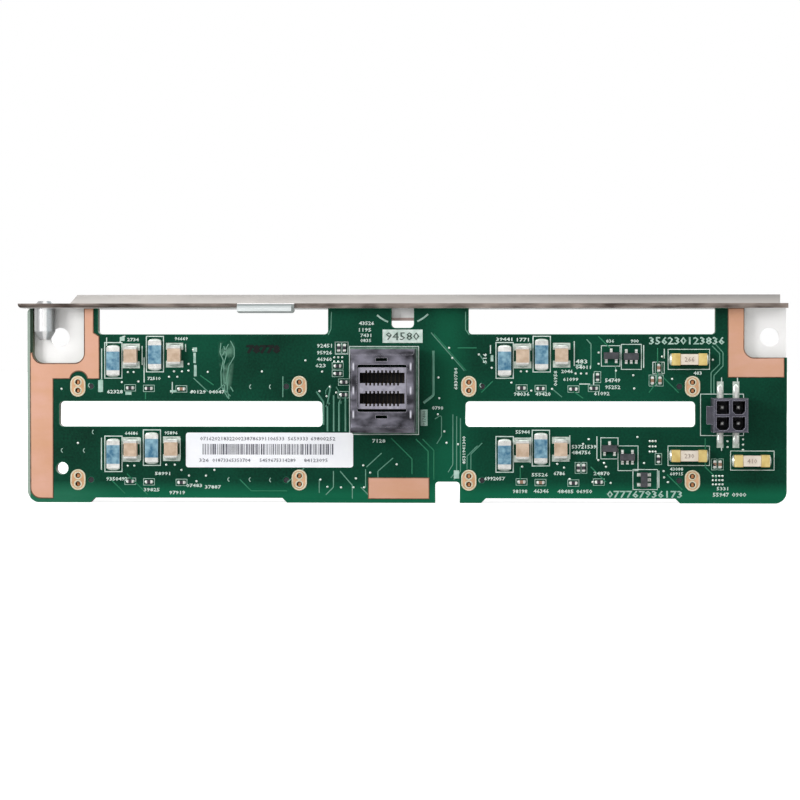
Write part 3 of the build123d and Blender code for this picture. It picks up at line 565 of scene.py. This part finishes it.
thick_marks = [
    (99.6, 104.8, 379, 391.5), (514.8, 517.6, 352.6, 359.2), (476, 481.6, 474, 482.6),
    (122.8, 127.8, 333.4, 337.6), (604, 611, 362.4, 364), (128.6, 135, 391.4, 394.6), (176, 183, 389.6, 392),
    (200, 204.6, 344.6, 349), (200.8, 203.4, 350, 361), (201.4, 204.2, 363, 375),
]
stamps("thick_marks", [bar(*m) for m in thick_marks], ink_dim, level=board_face)
stamps("port_plate", [bar(400.9, 443.1, 325.7, 339.7)], ink, level=board_face)
laid("pill_mark", [((444.6, 410), (444.6, 427))], 1.35 * mm, 2 * ink_height, ink_dim)


upright_from = 1.4
digit_pitch = 0.82


def digits(name, rows, material, level=board_face - ink_height, seed=3, weight=0.0):
    """Rows of plain numbers, each drawn to fill its place. A row taller than it is wide reads upwards."""
    draw = random.Random(seed)
    verts = []
    faces = []
    for left, right, top, low in rows:
        wide, tall = right - left, low - top
        upright = tall > wide * upright_from
        along, across = (tall, wide) if upright else (wide, tall)
        count = max(2, round(along / (across * digit_pitch)))
        curve = bpy.data.curves.new(name + "_row", "FONT")
        curve.body = "".join(str(draw.randrange(10)) for _ in range(count))
        curve.size = 1.0
        curve.resolution_u = 1
        curve.extrude = ink_height
        curve.offset = weight
        mesh = worked_out(placed(name + "_row", curve))
        xs, ys = [[v.co[i] for v in mesh.vertices] for i in (0, 1)]
        middle = Matrix.Translation((-(min(xs) + max(xs)) / 2, -(min(ys) + max(ys)) / 2, 0))
        fit = Matrix.Diagonal((along * photo_scale / (max(xs) - min(xs)),
                               across * photo_scale / (max(ys) - min(ys)), 1, 1))
        turn = Matrix.Rotation(math.radians(90 if upright else 0), 4, "Z")
        place = Matrix.Translation((*spot((left + right) / 2, (top + low) / 2), 0))
        mesh.transform(place @ turn @ fit @ middle)
        first = len(verts)
        verts += [v.co[:] for v in mesh.vertices]
        faces += [[first + i for i in p.vertices] for p in mesh.polygons]
        bpy.data.meshes.remove(mesh)
    joined = bpy.data.meshes.new(name)
    joined.from_pydata(verts, [], faces)
    joined.materials.append(material)
    settled(placed(name, joined), level)


part_numbers = [
    (148, 165, 493, 496.8), (175, 192, 496, 499.8), (193, 210, 488.5, 492.3), (213, 230, 490, 493.8),
    (109, 126, 389.2, 393.2), (197, 214, 389.5, 393.3), (217, 234, 389.5, 393.3), (181, 195, 333.4, 337),
    (152, 166, 375.5, 379), (130.5, 143, 334.4, 338), (128, 142, 433.4, 437), (170, 184, 433, 436.6),
    (108, 131, 481.5, 485.5), (160, 176, 476, 479.6), (520.5, 537.6, 334, 337.8), (542.3, 555, 334.5, 338.3),
    (506.7, 510.7, 350.7, 361), (588.9, 601.2, 367.8, 371.6), (590.8, 607, 376.3, 379.9),
    (581, 584.8, 369, 385), (604, 616.4, 357, 361.6), (604, 620, 363.5, 367.3), (539, 555.6, 391.5, 395.6),
    (561.8, 578, 391.5, 395.6), (558, 575, 476.6, 480.4), (581, 593, 475, 479), (538, 553.5, 494, 498),
    (560, 576, 493.5, 497.8), (585, 602, 494, 498), (605, 621.5, 494, 498), (508, 530, 480.6, 484.6),
    (748, 765, 497, 501.4), (768, 783, 497, 501.4), (635, 651, 377, 381.2), (635, 651, 384.3, 388.4),
    (541, 556, 431.5, 435.5), (623.4, 639.7, 391, 395), (727.7, 736.3, 369.5, 373.3), (376, 392, 317, 321),
    (376, 389, 324, 328), (600, 626, 447, 451), (377.5, 389, 330, 333.6), (377.5, 389, 335.4, 339),
    (331.5, 347.5, 340.6, 344.8), (331.5, 347.5, 348, 352), (600, 620, 453, 457), (331.5, 347.5, 355, 359),
    (330, 341, 361.6, 365.6), (453, 465, 406.4, 410.2), (476.2, 480, 366, 389), (485, 488.4, 438, 467),
    (636, 644.5, 336, 339.6), (661.7, 670.3, 336, 339.6), (390, 404, 441, 445), (703, 717, 470.5, 474),
    (703, 717, 475.5, 479), (623, 640, 475, 479), (752, 764, 491, 494.6),
]
fuse_numbers = [(681, 760, 333.4, 341.6), (637, 716, 495, 502.8)]
over_plate = board_face - 2.6 * ink_height
plate_ink = printed("plate_ink", "3A4A42", "55645C")
stamp_ink = printed("black_stamp", "010604", "040F0A", rough=0.5)
digits("part_numbers", part_numbers, ink, weight=0.022)
digits("fuse_numbers", fuse_numbers, ink_dim, seed=8, weight=0.018)
digits("plate_numbers", [(404.5, 439.5, 328.6, 336.8)], plate_ink, over_plate, seed=5)
digits("pill_numbers", [(443, 446.4, 411, 426.5)], plate_ink, over_plate, seed=6)
digits("dark_stamp", [(257, 293, 341.6, 351)], stamp_ink, seed=11, weight=0.06)


# Plated holes: copper barrels through the board, filled with solder, which show as small bright domes on
# both faces.
solder = surface("solder", "BFC8C0", "E2E8E2", 0.34, metal=0.55, blotch=900.0, grain=5000.0)
hole_spots = [
    (131.3, 370.5), (137.4, 370.5), (142.4, 380.5), (124.8, 381.2), (180.3, 369.8), (188.7, 369.8),
    (175, 375.5), (183.7, 375.5), (60.7, 388.3), (195.6, 362), (195.6, 369), (199.4, 390.8), (515.9, 366),
    (502.4, 352), (546.6, 369.7), (552.8, 369.7), (604.1, 372), (609.8, 372), (615.5, 372), (536.6, 381.5),
    (557.5, 390), (579.4, 388.2), (618, 441), (676, 466), (669, 438.6), (696.5, 474.5), (628.2, 350),
    (628.2, 361.8), (646.4, 369), (664.5, 373.8), (694.7, 354.2), (747.8, 357.5), (705.2, 377.6),
    (665.5, 387.7), (345.3, 386), (341.9, 396), (334.5, 390.6), (337, 370), (471, 345), (474.4, 355.6),
    (459.7, 376.2), (460.6, 398), (468.4, 445), (480.4, 446.5), (415.8, 467.7), (380.5, 468.9),
    (387.8, 476.6), (372.8, 482.7), (342.7, 491.6), (357, 492.1), (370.2, 492.1), (381.4, 492.1),
    (335.2, 484), (216, 370.4), (273.4, 369.9), (319.4, 358.2), (78, 445.6), (200.5, 347), (352, 392),
    (459, 415), (466, 433), (131, 469.6), (138, 469.6), (172, 468.5), (181, 468.5), (188, 474), (196, 480),
    (204, 486), (214, 480), (223, 474), (548, 470), (585, 467), (592, 471), (598, 483), (622, 486),
    (636, 470), (641, 487), (701, 486), (697, 481), (763.4, 443), (763.4, 449), (779.5, 441), (779.5, 446.5),
    (779.5, 452), (612, 446), (608, 470), (628, 463), (634, 466),
]
hole_spots += [(682 + 3 * a, 443 + 5.5 * b) for a in range(3) for b in range(3)]
hole_spots += [(748 + 3.4 * a, 479.5 + 4.4 * b) for a in range(4) for b in range(3)]
hole_spots += [(350 + 4.2 * a, 355 + 4.4 * b) for a in range(3) for b in range(2)]
hole_dome = (0.42 * mm, 0.16 * mm, 0.42 * mm)


def mounds(name, marks):
    """Mounds of solder, from their middles and sizes."""
    stamps(name, marks, solder, rounded=True)


for name, level in (("hole_domes", board_face), ("hole_domes_behind", 0.0)):
    mounds(name, [((x, level, z), hole_dome) for x, z in [spot(*hole) for hole in hole_spots]])


# Ground strips and lower ground pad: copper left bare so that the chassis can touch it, with a darker line
# where the mask begins.
def copper_colour(tree, texture):
    """Matt copper, pinker and more orange in patches, with faint rubbed streaks."""
    rubbed = grain_of(tree, blotch=420.0, stretch=0.25)["Blotch"]
    colour = mixed(tree, texture["Blotch"], paint("CC9A80"), paint("D4A592"))
    colour = tinted(tree, colour, "C8966A", rubbed, 0.35)
    return tinted(tree, colour, "7A5236", rim_of(tree, 0.2 * mm))


def rim_mesh(name, sources, inset):
    """The outlines of the photographed faces of some CAD nodes, drawn flat and moved a little inwards."""
    verts = []
    edges = []
    for source in sources:
        mesh = nodes[source].data
        face = min(v.co.y for v in mesh.vertices)
        flat = [tuple(round(c * 1e6) for c in (v.co.x, v.co.z)) for v in mesh.vertices]
        ways = set()
        for polygon in mesh.polygons:
            if polygon.normal.y < -0.9 and abs(polygon.center.y - face) < 1e-6:
                turns = [flat[i] for i in polygon.vertices]
                ways |= set(zip(turns, turns[1:] + turns[:1]))
        rim = sorted(way for way in ways if (way[1], way[0]) not in ways)
        inward = {}
        for a, b in rim:
            side = Vector((a[1] - b[1], b[0] - a[0])).normalized()
            for corner in (a, b):
                inward[corner] = inward.get(corner, Vector((0.0, 0.0))) + side
        place = {}
        for corner, side in sorted(inward.items(), key=lambda item: item[0]):
            place[corner] = len(verts)
            moved = Vector(corner) / 1e6 + side.normalized() * inset
            verts.append((moved.x, moved.y, 0.0))
        edges += [(place[a], place[b]) for a, b in rim]
    drawn = bpy.data.meshes.new(name)
    drawn.from_pydata(verts, edges, [])
    return drawn


coppers = ["ground_strip_left", "ground_pad_lower", "ground_strip_right"]
dress(coppers, finish("bare_copper", copper_colour, 0.5, blotch=110.0, grain=2500.0, metal=0.25, bump=0.015,
                      specular=0.3))
oxide = surface("copper_oxide", "5E4130", "86614A", 0.5, blotch=900.0, grain=4000.0, specular=0.25)
rim_height = 0.02 * mm
copper_rim_paths = rim_mesh("copper_rim_paths", coppers, 0.1 * mm)
strips("copper_rims", copper_rim_paths, 0.2 * mm, rim_height, oxide,
       level=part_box("ground_strip_left")[0][1])


# Lock pads: oval copper pads round the plated holes, where the metal locks of the receptacles come through
# from behind and are soldered.
def each(name, count=4):
    """Names of the nodes that repeat, one for each bay or fuse."""
    return [f"{name}_{number}" for number in range(1, count + 1)]


pad_copper = surface("plated_pad", "C0946C", "D8AC88", 0.42, metal=0.3, blotch=700.0, edge="DCCDB2",
                     edge_radius=0.2 * mm, specular=0.3)
pad_rim = surface("pad_rim", "C9C2A4", "E2DBC4", 0.5, blotch=900.0, specular=0.25)
pad_rim_paths = rim_mesh("pad_rim_paths", ["lock_pads"], 0.14 * mm)
strips("pad_rims", pad_rim_paths, 0.26 * mm, rim_height, pad_rim,
       level=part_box("lock_pads")[0][1])
dress(["lock_pads"], pad_copper)
lock_bronze = surface("lock_bronze", "9A5B34", "D89A6A", 0.36, metal=0.5, blotch=1500.0, grain=5000.0,
                      specular=0.3)
dress(each("receptacle_locks"), lock_bronze)


# Top rail: one strip of zinc-plated steel, pierced and folded. Its rolled faces are bright; painted shade
# darkens its sheared edges, the top of its lip and parts of its tabs.
def rail_colour(tree, texture):
    """Bright plating with streaks along the rail, a duller lip and two-toned tabs; painted shade darkens the
    sheared edges, the top of the lip and the tabs' bends, edges and turned faces.
    """
    x, y, z = place_axes(tree)
    facing = facing_axes(tree)
    plating = mixed(tree, texture["Blotch"], paint("E6E5E4"), paint("F6F5F4"))
    # Painted shade: the lip's grey darkens towards its top.
    lip = mixed(tree, ranged(tree, z, 7.0 * mm, 8.2 * mm), paint("ADA9A5"), paint("868482"))
    lip = tinted(tree, lip, "CDC9C5", texture["Blotch"], 0.6)
    colour = mixed(tree, above(tree, z, 6.5 * mm), plating, lip)
    streaks = grain_of(tree, blotch=700.0, grain=3000.0, stretch=0.25)["Blotch"]
    # Painted shade: the sheared front edge of the plate is dark brown, streaked along the rail.
    edge = mixed(tree, streaks, paint("40352F"), paint("93877F"))
    sheared = product(tree, below(tree, y, -5.0 * mm), above(tree, y, -5.5 * mm),
                      below(tree, facing["Y"], -0.5))
    colour = mixed(tree, sheared, colour, edge)
    # Painted shade: the front tabs' faces that turn to the right or downwards are dark.
    tab_shaded_sides = counted(tree, "MAXIMUM", above(tree, facing["X"], 0.5), below(tree, facing["Z"], -0.5))
    colour = tinted(tree, colour, "3A332E", below(tree, y, -5.5 * mm), tab_shaded_sides)
    # Painted shade: the lanced tab darkens towards its bend at the top, and along its lower edge and right
    # end.
    tab = mixed(tree, ranged(tree, z, 5.5 * mm, 6.0 * mm), paint("D6DCDC"), paint("8F9696"))
    tab_shaded_edges = counted(tree, "MAXIMUM", below(tree, z, 4.9 * mm), above(tree, x, 45.0 * mm))
    tab = tinted(tree, tab, "7E8482", tab_shaded_edges)
    colour = mixed(tree, below(tree, y, -6.0 * mm), colour, tab)
    middle_tab = product(tree, below(tree, apart(tree, x, 65.8 * mm), 6.0 * mm), below(tree, z, 3.7 * mm))
    return tinted(tree, colour, "9C7A72", middle_tab, 0.8)


dress(["top_rail"], finish("zinc_plate", rail_colour, 0.4, blotch=90.0, grain=2500.0, stretch=0.15,
                           metal=0.35, bump=0.03, specular=0.4))


# Locating pin: turned from bright steel, with a tapered tip. Its shank is riveted into the rail, so its head
# shows above the plate.
def pin_colour(tree, texture):
    """Turned steel, with a painted highlight down its middle and painted shade on its sides, set by the way
    the surface faces.
    """
    highlight_ramp = tree.nodes.new("ShaderNodeValToRGB")
    tree.links.new(ranged(tree, facing_axes(tree)["X"], -1.0, 1.0), highlight_ramp.inputs[0])
    # Painted highlight and painted shade: the tones follow the way the surface faces, brightest near the
    # middle and darkest facing right.
    tones = ((0.0, "D8D8D6"), (0.2, "9A9C9C"), (0.42, "A9ABAC"), (0.5, "FAFBFA"), (0.62, "FAFBFA"),
             (0.7, "A9B1B4"), (0.85, "B4BABC"), (1.0, "5F6263"))
    for index, (at, tone) in enumerate(tones):
        if index > 1:
            highlight_ramp.color_ramp.elements.new(at)
        highlight_ramp.color_ramp.elements[index].position = at
        highlight_ramp.color_ramp.elements[index].color = paint(tone)
    return tinted(tree, highlight_ramp.outputs[0], "B0A8A8", texture["Blotch"], 0.25)


dress(["locating_pin"], finish("turned_steel", pin_colour, 0.34, blotch=400.0, grain=5000.0, metal=0.4))


# Data port: a shield drawn from thin plated sheet, with blunt corners and two pierced windows, over a
# moulded housing with two rows of grooves and gold springs.
shield_low, shield_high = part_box("port_shield")
shield_middle = (shield_low[0] + shield_high[0]) / 2
shield_half = (shield_high[0] - shield_low[0]) / 2
port_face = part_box("port_housing")[0][1]
port_pitch = 0.75 * mm


def shield_colour(tree, texture):
    """Tarnished plating in blotches, with pale rims and bright broken streaks where the sides are bent over;
    the rims and streaks are painted highlights.
    """
    x, _, z = place_axes(tree)
    colour = mixed(tree, texture["Blotch"], paint("1F1E25"), paint("7B7985"))
    # Painted highlight: pale rims on the shield's edges.
    colour = tinted(tree, colour, "B4B3BC", rim_of(tree, 0.16 * mm))
    # Painted highlights: bright broken streaks along the bent-over sides.
    bend = apart(tree, apart(tree, x, shield_middle), shield_half - 0.65 * mm)
    highlight_breaks = counted(tree, "SINE", product(tree, z, -1400.0))
    return tinted(tree, colour, "CBCAD4", ranged(tree, bend, 0.22 * mm, 0.08 * mm),
                  ranged(tree, highlight_breaks, 0.35, 0.85))


def port_colour(tree, texture):
    """Grey plastic with pale rubbed rims round the grooves, and a darker inside: dark plastic with spring
    stripes, deepened by painted shade.
    """
    x, y, _ = place_axes(tree)
    face = mixed(tree, texture["Blotch"], paint("84828F"), paint("A4A2AE"))
    face = tinted(tree, face, "C2C1CC", rim_of(tree, 0.1 * mm))
    springs = counted(tree, "SINE", product(tree, x, 2 * math.pi / port_pitch))
    # Darker deeper in: dark plastic, with painted shade in the recess.
    inside = mixed(tree, ranged(tree, springs, 0.2, 0.9), paint("110F12"), paint("3E3428"))
    return mixed(tree, ranged(tree, y, port_face + 0.2 * mm, port_face + 1.0 * mm), face, inside)


dress(["port_shield"], finish("shield_metal", shield_colour, 0.42, blotch=520.0, grain=3500.0, stretch=0.55,
                              metal=0.25, bump=0.03, specular=0.3))
dress(["port_housing"], finish("port_plastic", port_colour, 0.5, blotch=900.0, grain=5000.0, bump=0.015,
                               specular=0.25))
gold = surface("contact_gold", "8E6C34", "C29C50", 0.34, metal=0.8, blotch=900.0, grain=6000.0)
dress(each("receptacle_contacts"), gold)
# The port's contacts are dark: tarnish, and painted shade deep in its slots.
tarnished_and_shaded_gold = surface("tarnished_and_shaded_gold", "2A2118", "5A4830", 0.4, metal=0.4, blotch=1500.0, grain=6000.0,
                    specular=0.3)
dress(["port_contacts"], tarnished_and_shaded_gold)


# Power header: a moulded nylon housing with four keyed cells and a latch ramp, over tinned brass posts whose
# tails are soldered to the board.
# The housing's pale edges are a painted highlight.
header_black = surface("header_plastic", "302F39", "4A4956", 0.42, blotch=500.0, grain=5000.0, edge="B2B1BE",
                       edge_radius=0.2 * mm, specular=0.35)
dress(["power_housing"], header_black)
tin = surface("tinned", "C4C4C0", "E8E8E4", 0.34, metal=0.45, blotch=900.0, grain=5000.0)
dress(["power_pins"], tin)


# Fuses: a white ceramic tube between two gold-plated end caps that are pressed over it. Each has a plain
# grey number printed on its top.
# Painted shade: the tube's darker edges and the dark outlines of the caps.
ceramic = surface("white_ceramic", "D8CBBC", "E6DCCE", 0.6, blotch=500.0, grain=5000.0, edge="C9B29A",
                  specular=0.25)
cap_gold = surface("cap_gold", "C9AC64", "E6D08C", 0.4, metal=0.35, blotch=500.0, edge="8A6A2C",
                   edge_radius=0.18 * mm, specular=0.4)
fuse_ink = printed("fuse_ink", "8E7C70", "A8968A")
dress(each("fuse_body", 3), ceramic)
dress(each("fuse_caps", 3), cap_gold)
mark_half = (5.0, 2.4)
for number, fuse in enumerate(each("fuse_body", 3), 1):
    low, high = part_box(fuse)
    px = (low[0] + high[0]) / 2 / photo_scale + photo_zero[0]
    py = photo_zero[1] - (low[2] + high[2]) / 2 / photo_scale
    mark = (px - mark_half[0], px + mark_half[0], py - mark_half[1], py + mark_half[1])
    digits(f"fuse_mark_{number}", [mark], fuse_ink, low[1] - ink_height, seed=20 + number)


# Sense resistors: a thick film between two wide tinned ends, under a blue coat. They lie between solder
# fillets, in printed frames.
blue = surface("blue_coat", "3D6F8C", "8AB2C2", 0.4, blotch=1100.0, grain=5000.0, edge="A9C6D6",
               edge_radius=0.2 * mm, specular=0.3)
dress(each("sense_resistors"), blue)
dress(each("resistor_ends"), tin)


def islands(name):
    """Lowest and highest corners of each separate body of a CAD node."""
    mesh = nodes[name].data
    keys = [tuple(round(c * 1e6) for c in v.co) for v in mesh.vertices]
    joined = {key: key for key in keys}

    def root(key):
        while joined[key] != key:
            joined[key] = joined[joined[key]]
            key = joined[key]
        return key

    for edge in mesh.edges:
        joined[root(keys[edge.vertices[0]])] = root(keys[edge.vertices[1]])
    bodies = {}
    for key in joined:
        bodies.setdefault(root(key), []).append(key)
    return [tuple(Vector([end(key[i] for key in body) / 1e6 for i in range(3)]) for end in (min, max))
            for _, body in sorted(bodies.items())]


def end_fillets(name, reach, rise, spare=0.0):
    """Solder at the outer side of each end terminal: a low mound as wide as the terminal."""
    found = []
    bodies = [((low + high) / 2, high - low) for low, high in islands(name)]
    for middle, size in bodies:
        others = [other for other, _ in bodies if other is not middle]
        partner = min(others, key=lambda other: (other - middle).length)
        away = middle - partner
        if abs(away.x) > abs(away.z):
            spread = Vector((2 * reach, 2 * rise, size.z + spare))
            at = (middle.x + math.copysign(1.0, away.x) * size.x / 2, board_face, middle.z)
        else:
            spread = Vector((size.x + spare, 2 * rise, 2 * reach))
            at = (middle.x, board_face, middle.z + math.copysign(1.0, away.z) * size.z / 2)
        found.append((at, spread))
    return found


def all_fillets(names, *sizes):
    """The end fillets of several nodes."""
    return [mound for name in names for mound in end_fillets(name, *sizes)]


gap_above, gap_below, gap_left, gap_right = 0.85 * mm, 0.65 * mm, 0.38 * mm, 0.42 * mm
resistor_frames = []
for name in each("resistor_ends"):
    ends = islands(name)
    for left in sorted({round(low.x, 5) for low, _ in ends}):
        pair = [(low, high) for low, high in ends if abs(low.x - left) < 0.1 * mm]
        top = max(high.z for _, high in pair) + gap_above
        foot = min(low.z for low, _ in pair) - gap_below
        resistor_frames.append(corners(left - gap_left, pair[0][1].x + gap_right, top, foot))
mounds("resistor_solder", all_fillets(each("resistor_ends"), 0.42 * mm, 0.34 * mm))
strips("resistor_frames", paths_mesh("resistor_frame_paths", resistor_frames, closed=True), 0.26 * mm,
       2 * ink_height, ink)


# Bay capacitors: fired stacks of tan ceramic with tinned ends. They stand on wide tinned pads, with taller
# solder fillets than the resistors.
tan = surface("tan_ceramic", "B49A82", "D2BCA6", 0.55, blotch=700.0, grain=5000.0, edge="E6D2C0",
              edge_radius=0.2 * mm, specular=0.25)
pad_tin = surface("pad_tin", "A3B0A6", "CDD6CE", 0.4, metal=0.35, blotch=1200.0, grain=5000.0, specular=0.3)
pad_rise = 0.04 * mm
capacitor_pad = (3.3 * mm, 2 * pad_rise, 1.3 * mm)
dress(each("bay_capacitors"), tan)
dress(each("capacitor_ends"), tin)
capacitor_mounds = all_fillets(each("capacitor_ends"), 0.5 * mm, 0.8 * mm, 0.1 * mm)
capacitor_pads = [(middle, capacitor_pad) for middle, _ in capacitor_mounds]
mounds("capacitor_solder", capacitor_mounds)
stamps("capacitor_pads", capacitor_pads, pad_tin)


# Transistors: black moulded bodies on bent tinned leads. Each lead stands on a tinned pad that is a little
# larger than its foot.
moulding = surface("black_moulding", "34373A", "4C4C50", 0.5, blotch=900.0, grain=6000.0, edge="5C5C64",
                   specular=0.3)
dress(["transistor_bodies"], moulding)
dress(["transistor_leads"], tin)
lead_pads = []
for low, high in islands("transistor_leads"):
    middle, size = (low + high) / 2, high - low
    pad_size = (size.x + 0.1 * mm, 2 * pad_rise, size.z + 0.25 * mm)
    lead_pads.append(((middle.x, board_face, middle.z), pad_size))
stamps("lead_pads", lead_pads, pad_tin)


# Small chips: tiny resistors and capacitors, some black and some tan. Each is soldered at both ends, inside
# a thin printed frame.
def chip_colour(tree, texture):
    """Black film on some chips and tan ceramic on others."""
    dark = mixed(tree, texture["Grain"], paint("26262C"), paint("3A3A40"))
    pale = mixed(tree, texture["Grain"], paint("7E6250"), paint("A08068"))
    return mixed(tree, above(tree, texture["Blotch"], 0.62), dark, pale)


dress(["small_chips"], finish("chip_body", chip_colour, 0.45, blotch=45.0, grain=5000.0, bump=0.015,
                              specular=0.3))
dress(["chip_ends"], tin)
frame_long, frame_short = 1.05 * mm, 0.62 * mm
chip_frames = []
for low, high in islands("small_chips"):
    middle, size = (low + high) / 2, high - low
    right, up = (frame_long, frame_short) if size.x > size.z else (frame_short, frame_long)
    chip_frames.append(corners(middle.x - right, middle.x + right, middle.z + up, middle.z - up))
chip_frame_paths = paths_mesh("chip_frame_paths", chip_frames, closed=True)
strips("chip_frames", chip_frame_paths, 0.15 * mm, ink_height, ink_dim)
mounds("chip_solder", end_fillets("chip_ends", 0.24 * mm, 0.26 * mm, 0.06 * mm))


# Solder at the fuses and at the header's tails: reflowed fillets along each joint, and tinned pads under the
# header's tails.
mounds("fuse_solder", all_fillets(each("fuse_caps", 3), 0.45 * mm, 0.7 * mm))
tails = islands("power_pins")
header_middle = sum((low.z + high.z) / 2 for low, high in tails) / len(tails)
tail_mound = (1.15 * mm, 0.5 * mm, 2.3 * mm)
tail_pad = (1.25 * mm, 2 * pad_rise, 3.2 * mm)
from_end = 0.7 * mm
tail_middles = []
for low, high in tails:
    over = (low.z + high.z) / 2 > header_middle
    tail_middles.append(((low.x + high.x) / 2, board_face, high.z - from_end if over else low.z + from_end))
mounds("tail_solder", [(at, tail_mound) for at in tail_middles])
stamps("tail_pads", [(at, tail_pad) for at in tail_middles], pad_tin)


# Label: smooth white paper with rounded corners, stuck flat on the mask. It is printed with bars and plain
# numbers in grey ink.
paper = surface("label_paper", "EDEEF4", "F6F7FA", 0.6, blotch=200.0, grain=5000.0, specular=0.2)
dress(["label"], paper)
label_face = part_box("label")[0][1]
label_print = printed("label_ink", "50505A", "6A6A76")
bar_draw = random.Random(5)
bar_widths = (0.55, 0.55, 1.0, 1.5)
bar_gaps = (0.6, 0.9, 1.3)
bars_end = 349
bars = []
reached = 210.5
while reached < bars_end:
    width = bar_draw.choice(bar_widths)
    bars.append(bar(reached, reached + width, 446.4, 457.6))
    reached += width + bar_draw.choice(bar_gaps)
stamps("label_bars", bars, label_print, level=label_face)
label_rows = [
    (208, 297, 438.9, 442.7), (301, 322, 438.9, 442.7), (325, 351, 438.9, 442.7), (207, 217, 461.8, 465.4),
    (221, 261, 461.8, 465.4), (271, 309, 461.8, 465.4), (318, 343, 461.8, 465.4),
]
digits("label_numbers", label_rows, label_print, label_face - ink_height, seed=31)


# Drive receptacles: black moulded slots on the far side, with soldered feet along both sides and printed
# frames round them. Only the upper two have room for the legs of a frame.
black = surface("receptacle_plastic", "1E1E23", "2A2A30", 0.45, blotch=400.0, grain=5000.0, edge="4A4A52",
                specular=0.35)
dress(each("drive_receptacle"), black)
foot_pads = []
foot_mounds = []
back_frames = []
frame_gap = 0.9 * mm
foot_pad = (0.85 * mm, 2 * pad_rise, 1.0 * mm)
foot_mound = (0.8 * mm, 0.4 * mm, 0.44 * mm)
for number, receptacle in enumerate(each("drive_receptacle"), 1):
    low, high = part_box(receptacle)
    middle = (low[2] + high[2]) / 2
    top_left, top_right, low_right, low_left = corners(low[0] - frame_gap, high[0] + frame_gap,
                                                       high[2] + frame_gap, middle)
    legs = number % 2 == 1
    back_frames.append((low_left, top_left, top_right, low_right) if legs else (top_left, top_right))
    for foot_low, foot_high in islands(f"receptacle_contacts_{number}"):
        x = (foot_low.x + foot_high.x) / 2
        under = middle - foot_low.z > foot_high.z - middle
        end, outward = (foot_low.z, -1) if under else (foot_high.z, 1)
        foot_pads.append(((x, 0.0, end - outward * 0.5 * mm), foot_pad))
        foot_mounds.append(((x, 0.0, end - outward * 0.22 * mm), foot_mound))
stamps("foot_pads", foot_pads, pad_tin)
mounds("foot_solder", foot_mounds)
back_frame_paths = paths_mesh("back_frame_paths", back_frames)
strips("back_frames", back_frame_paths, 0.18 * mm, 2 * ink_height, ink, level=0.0)


# Status lights: small light-emitting chips soldered beside each receptacle, with clear domed lenses over
# white bases.
light_chip = surface("light_chip", "DCE6C8", "EEF4DE", 0.3, blotch=900.0, grain=5000.0, edge="B8C49A")
dress(["status_lights"], light_chip)
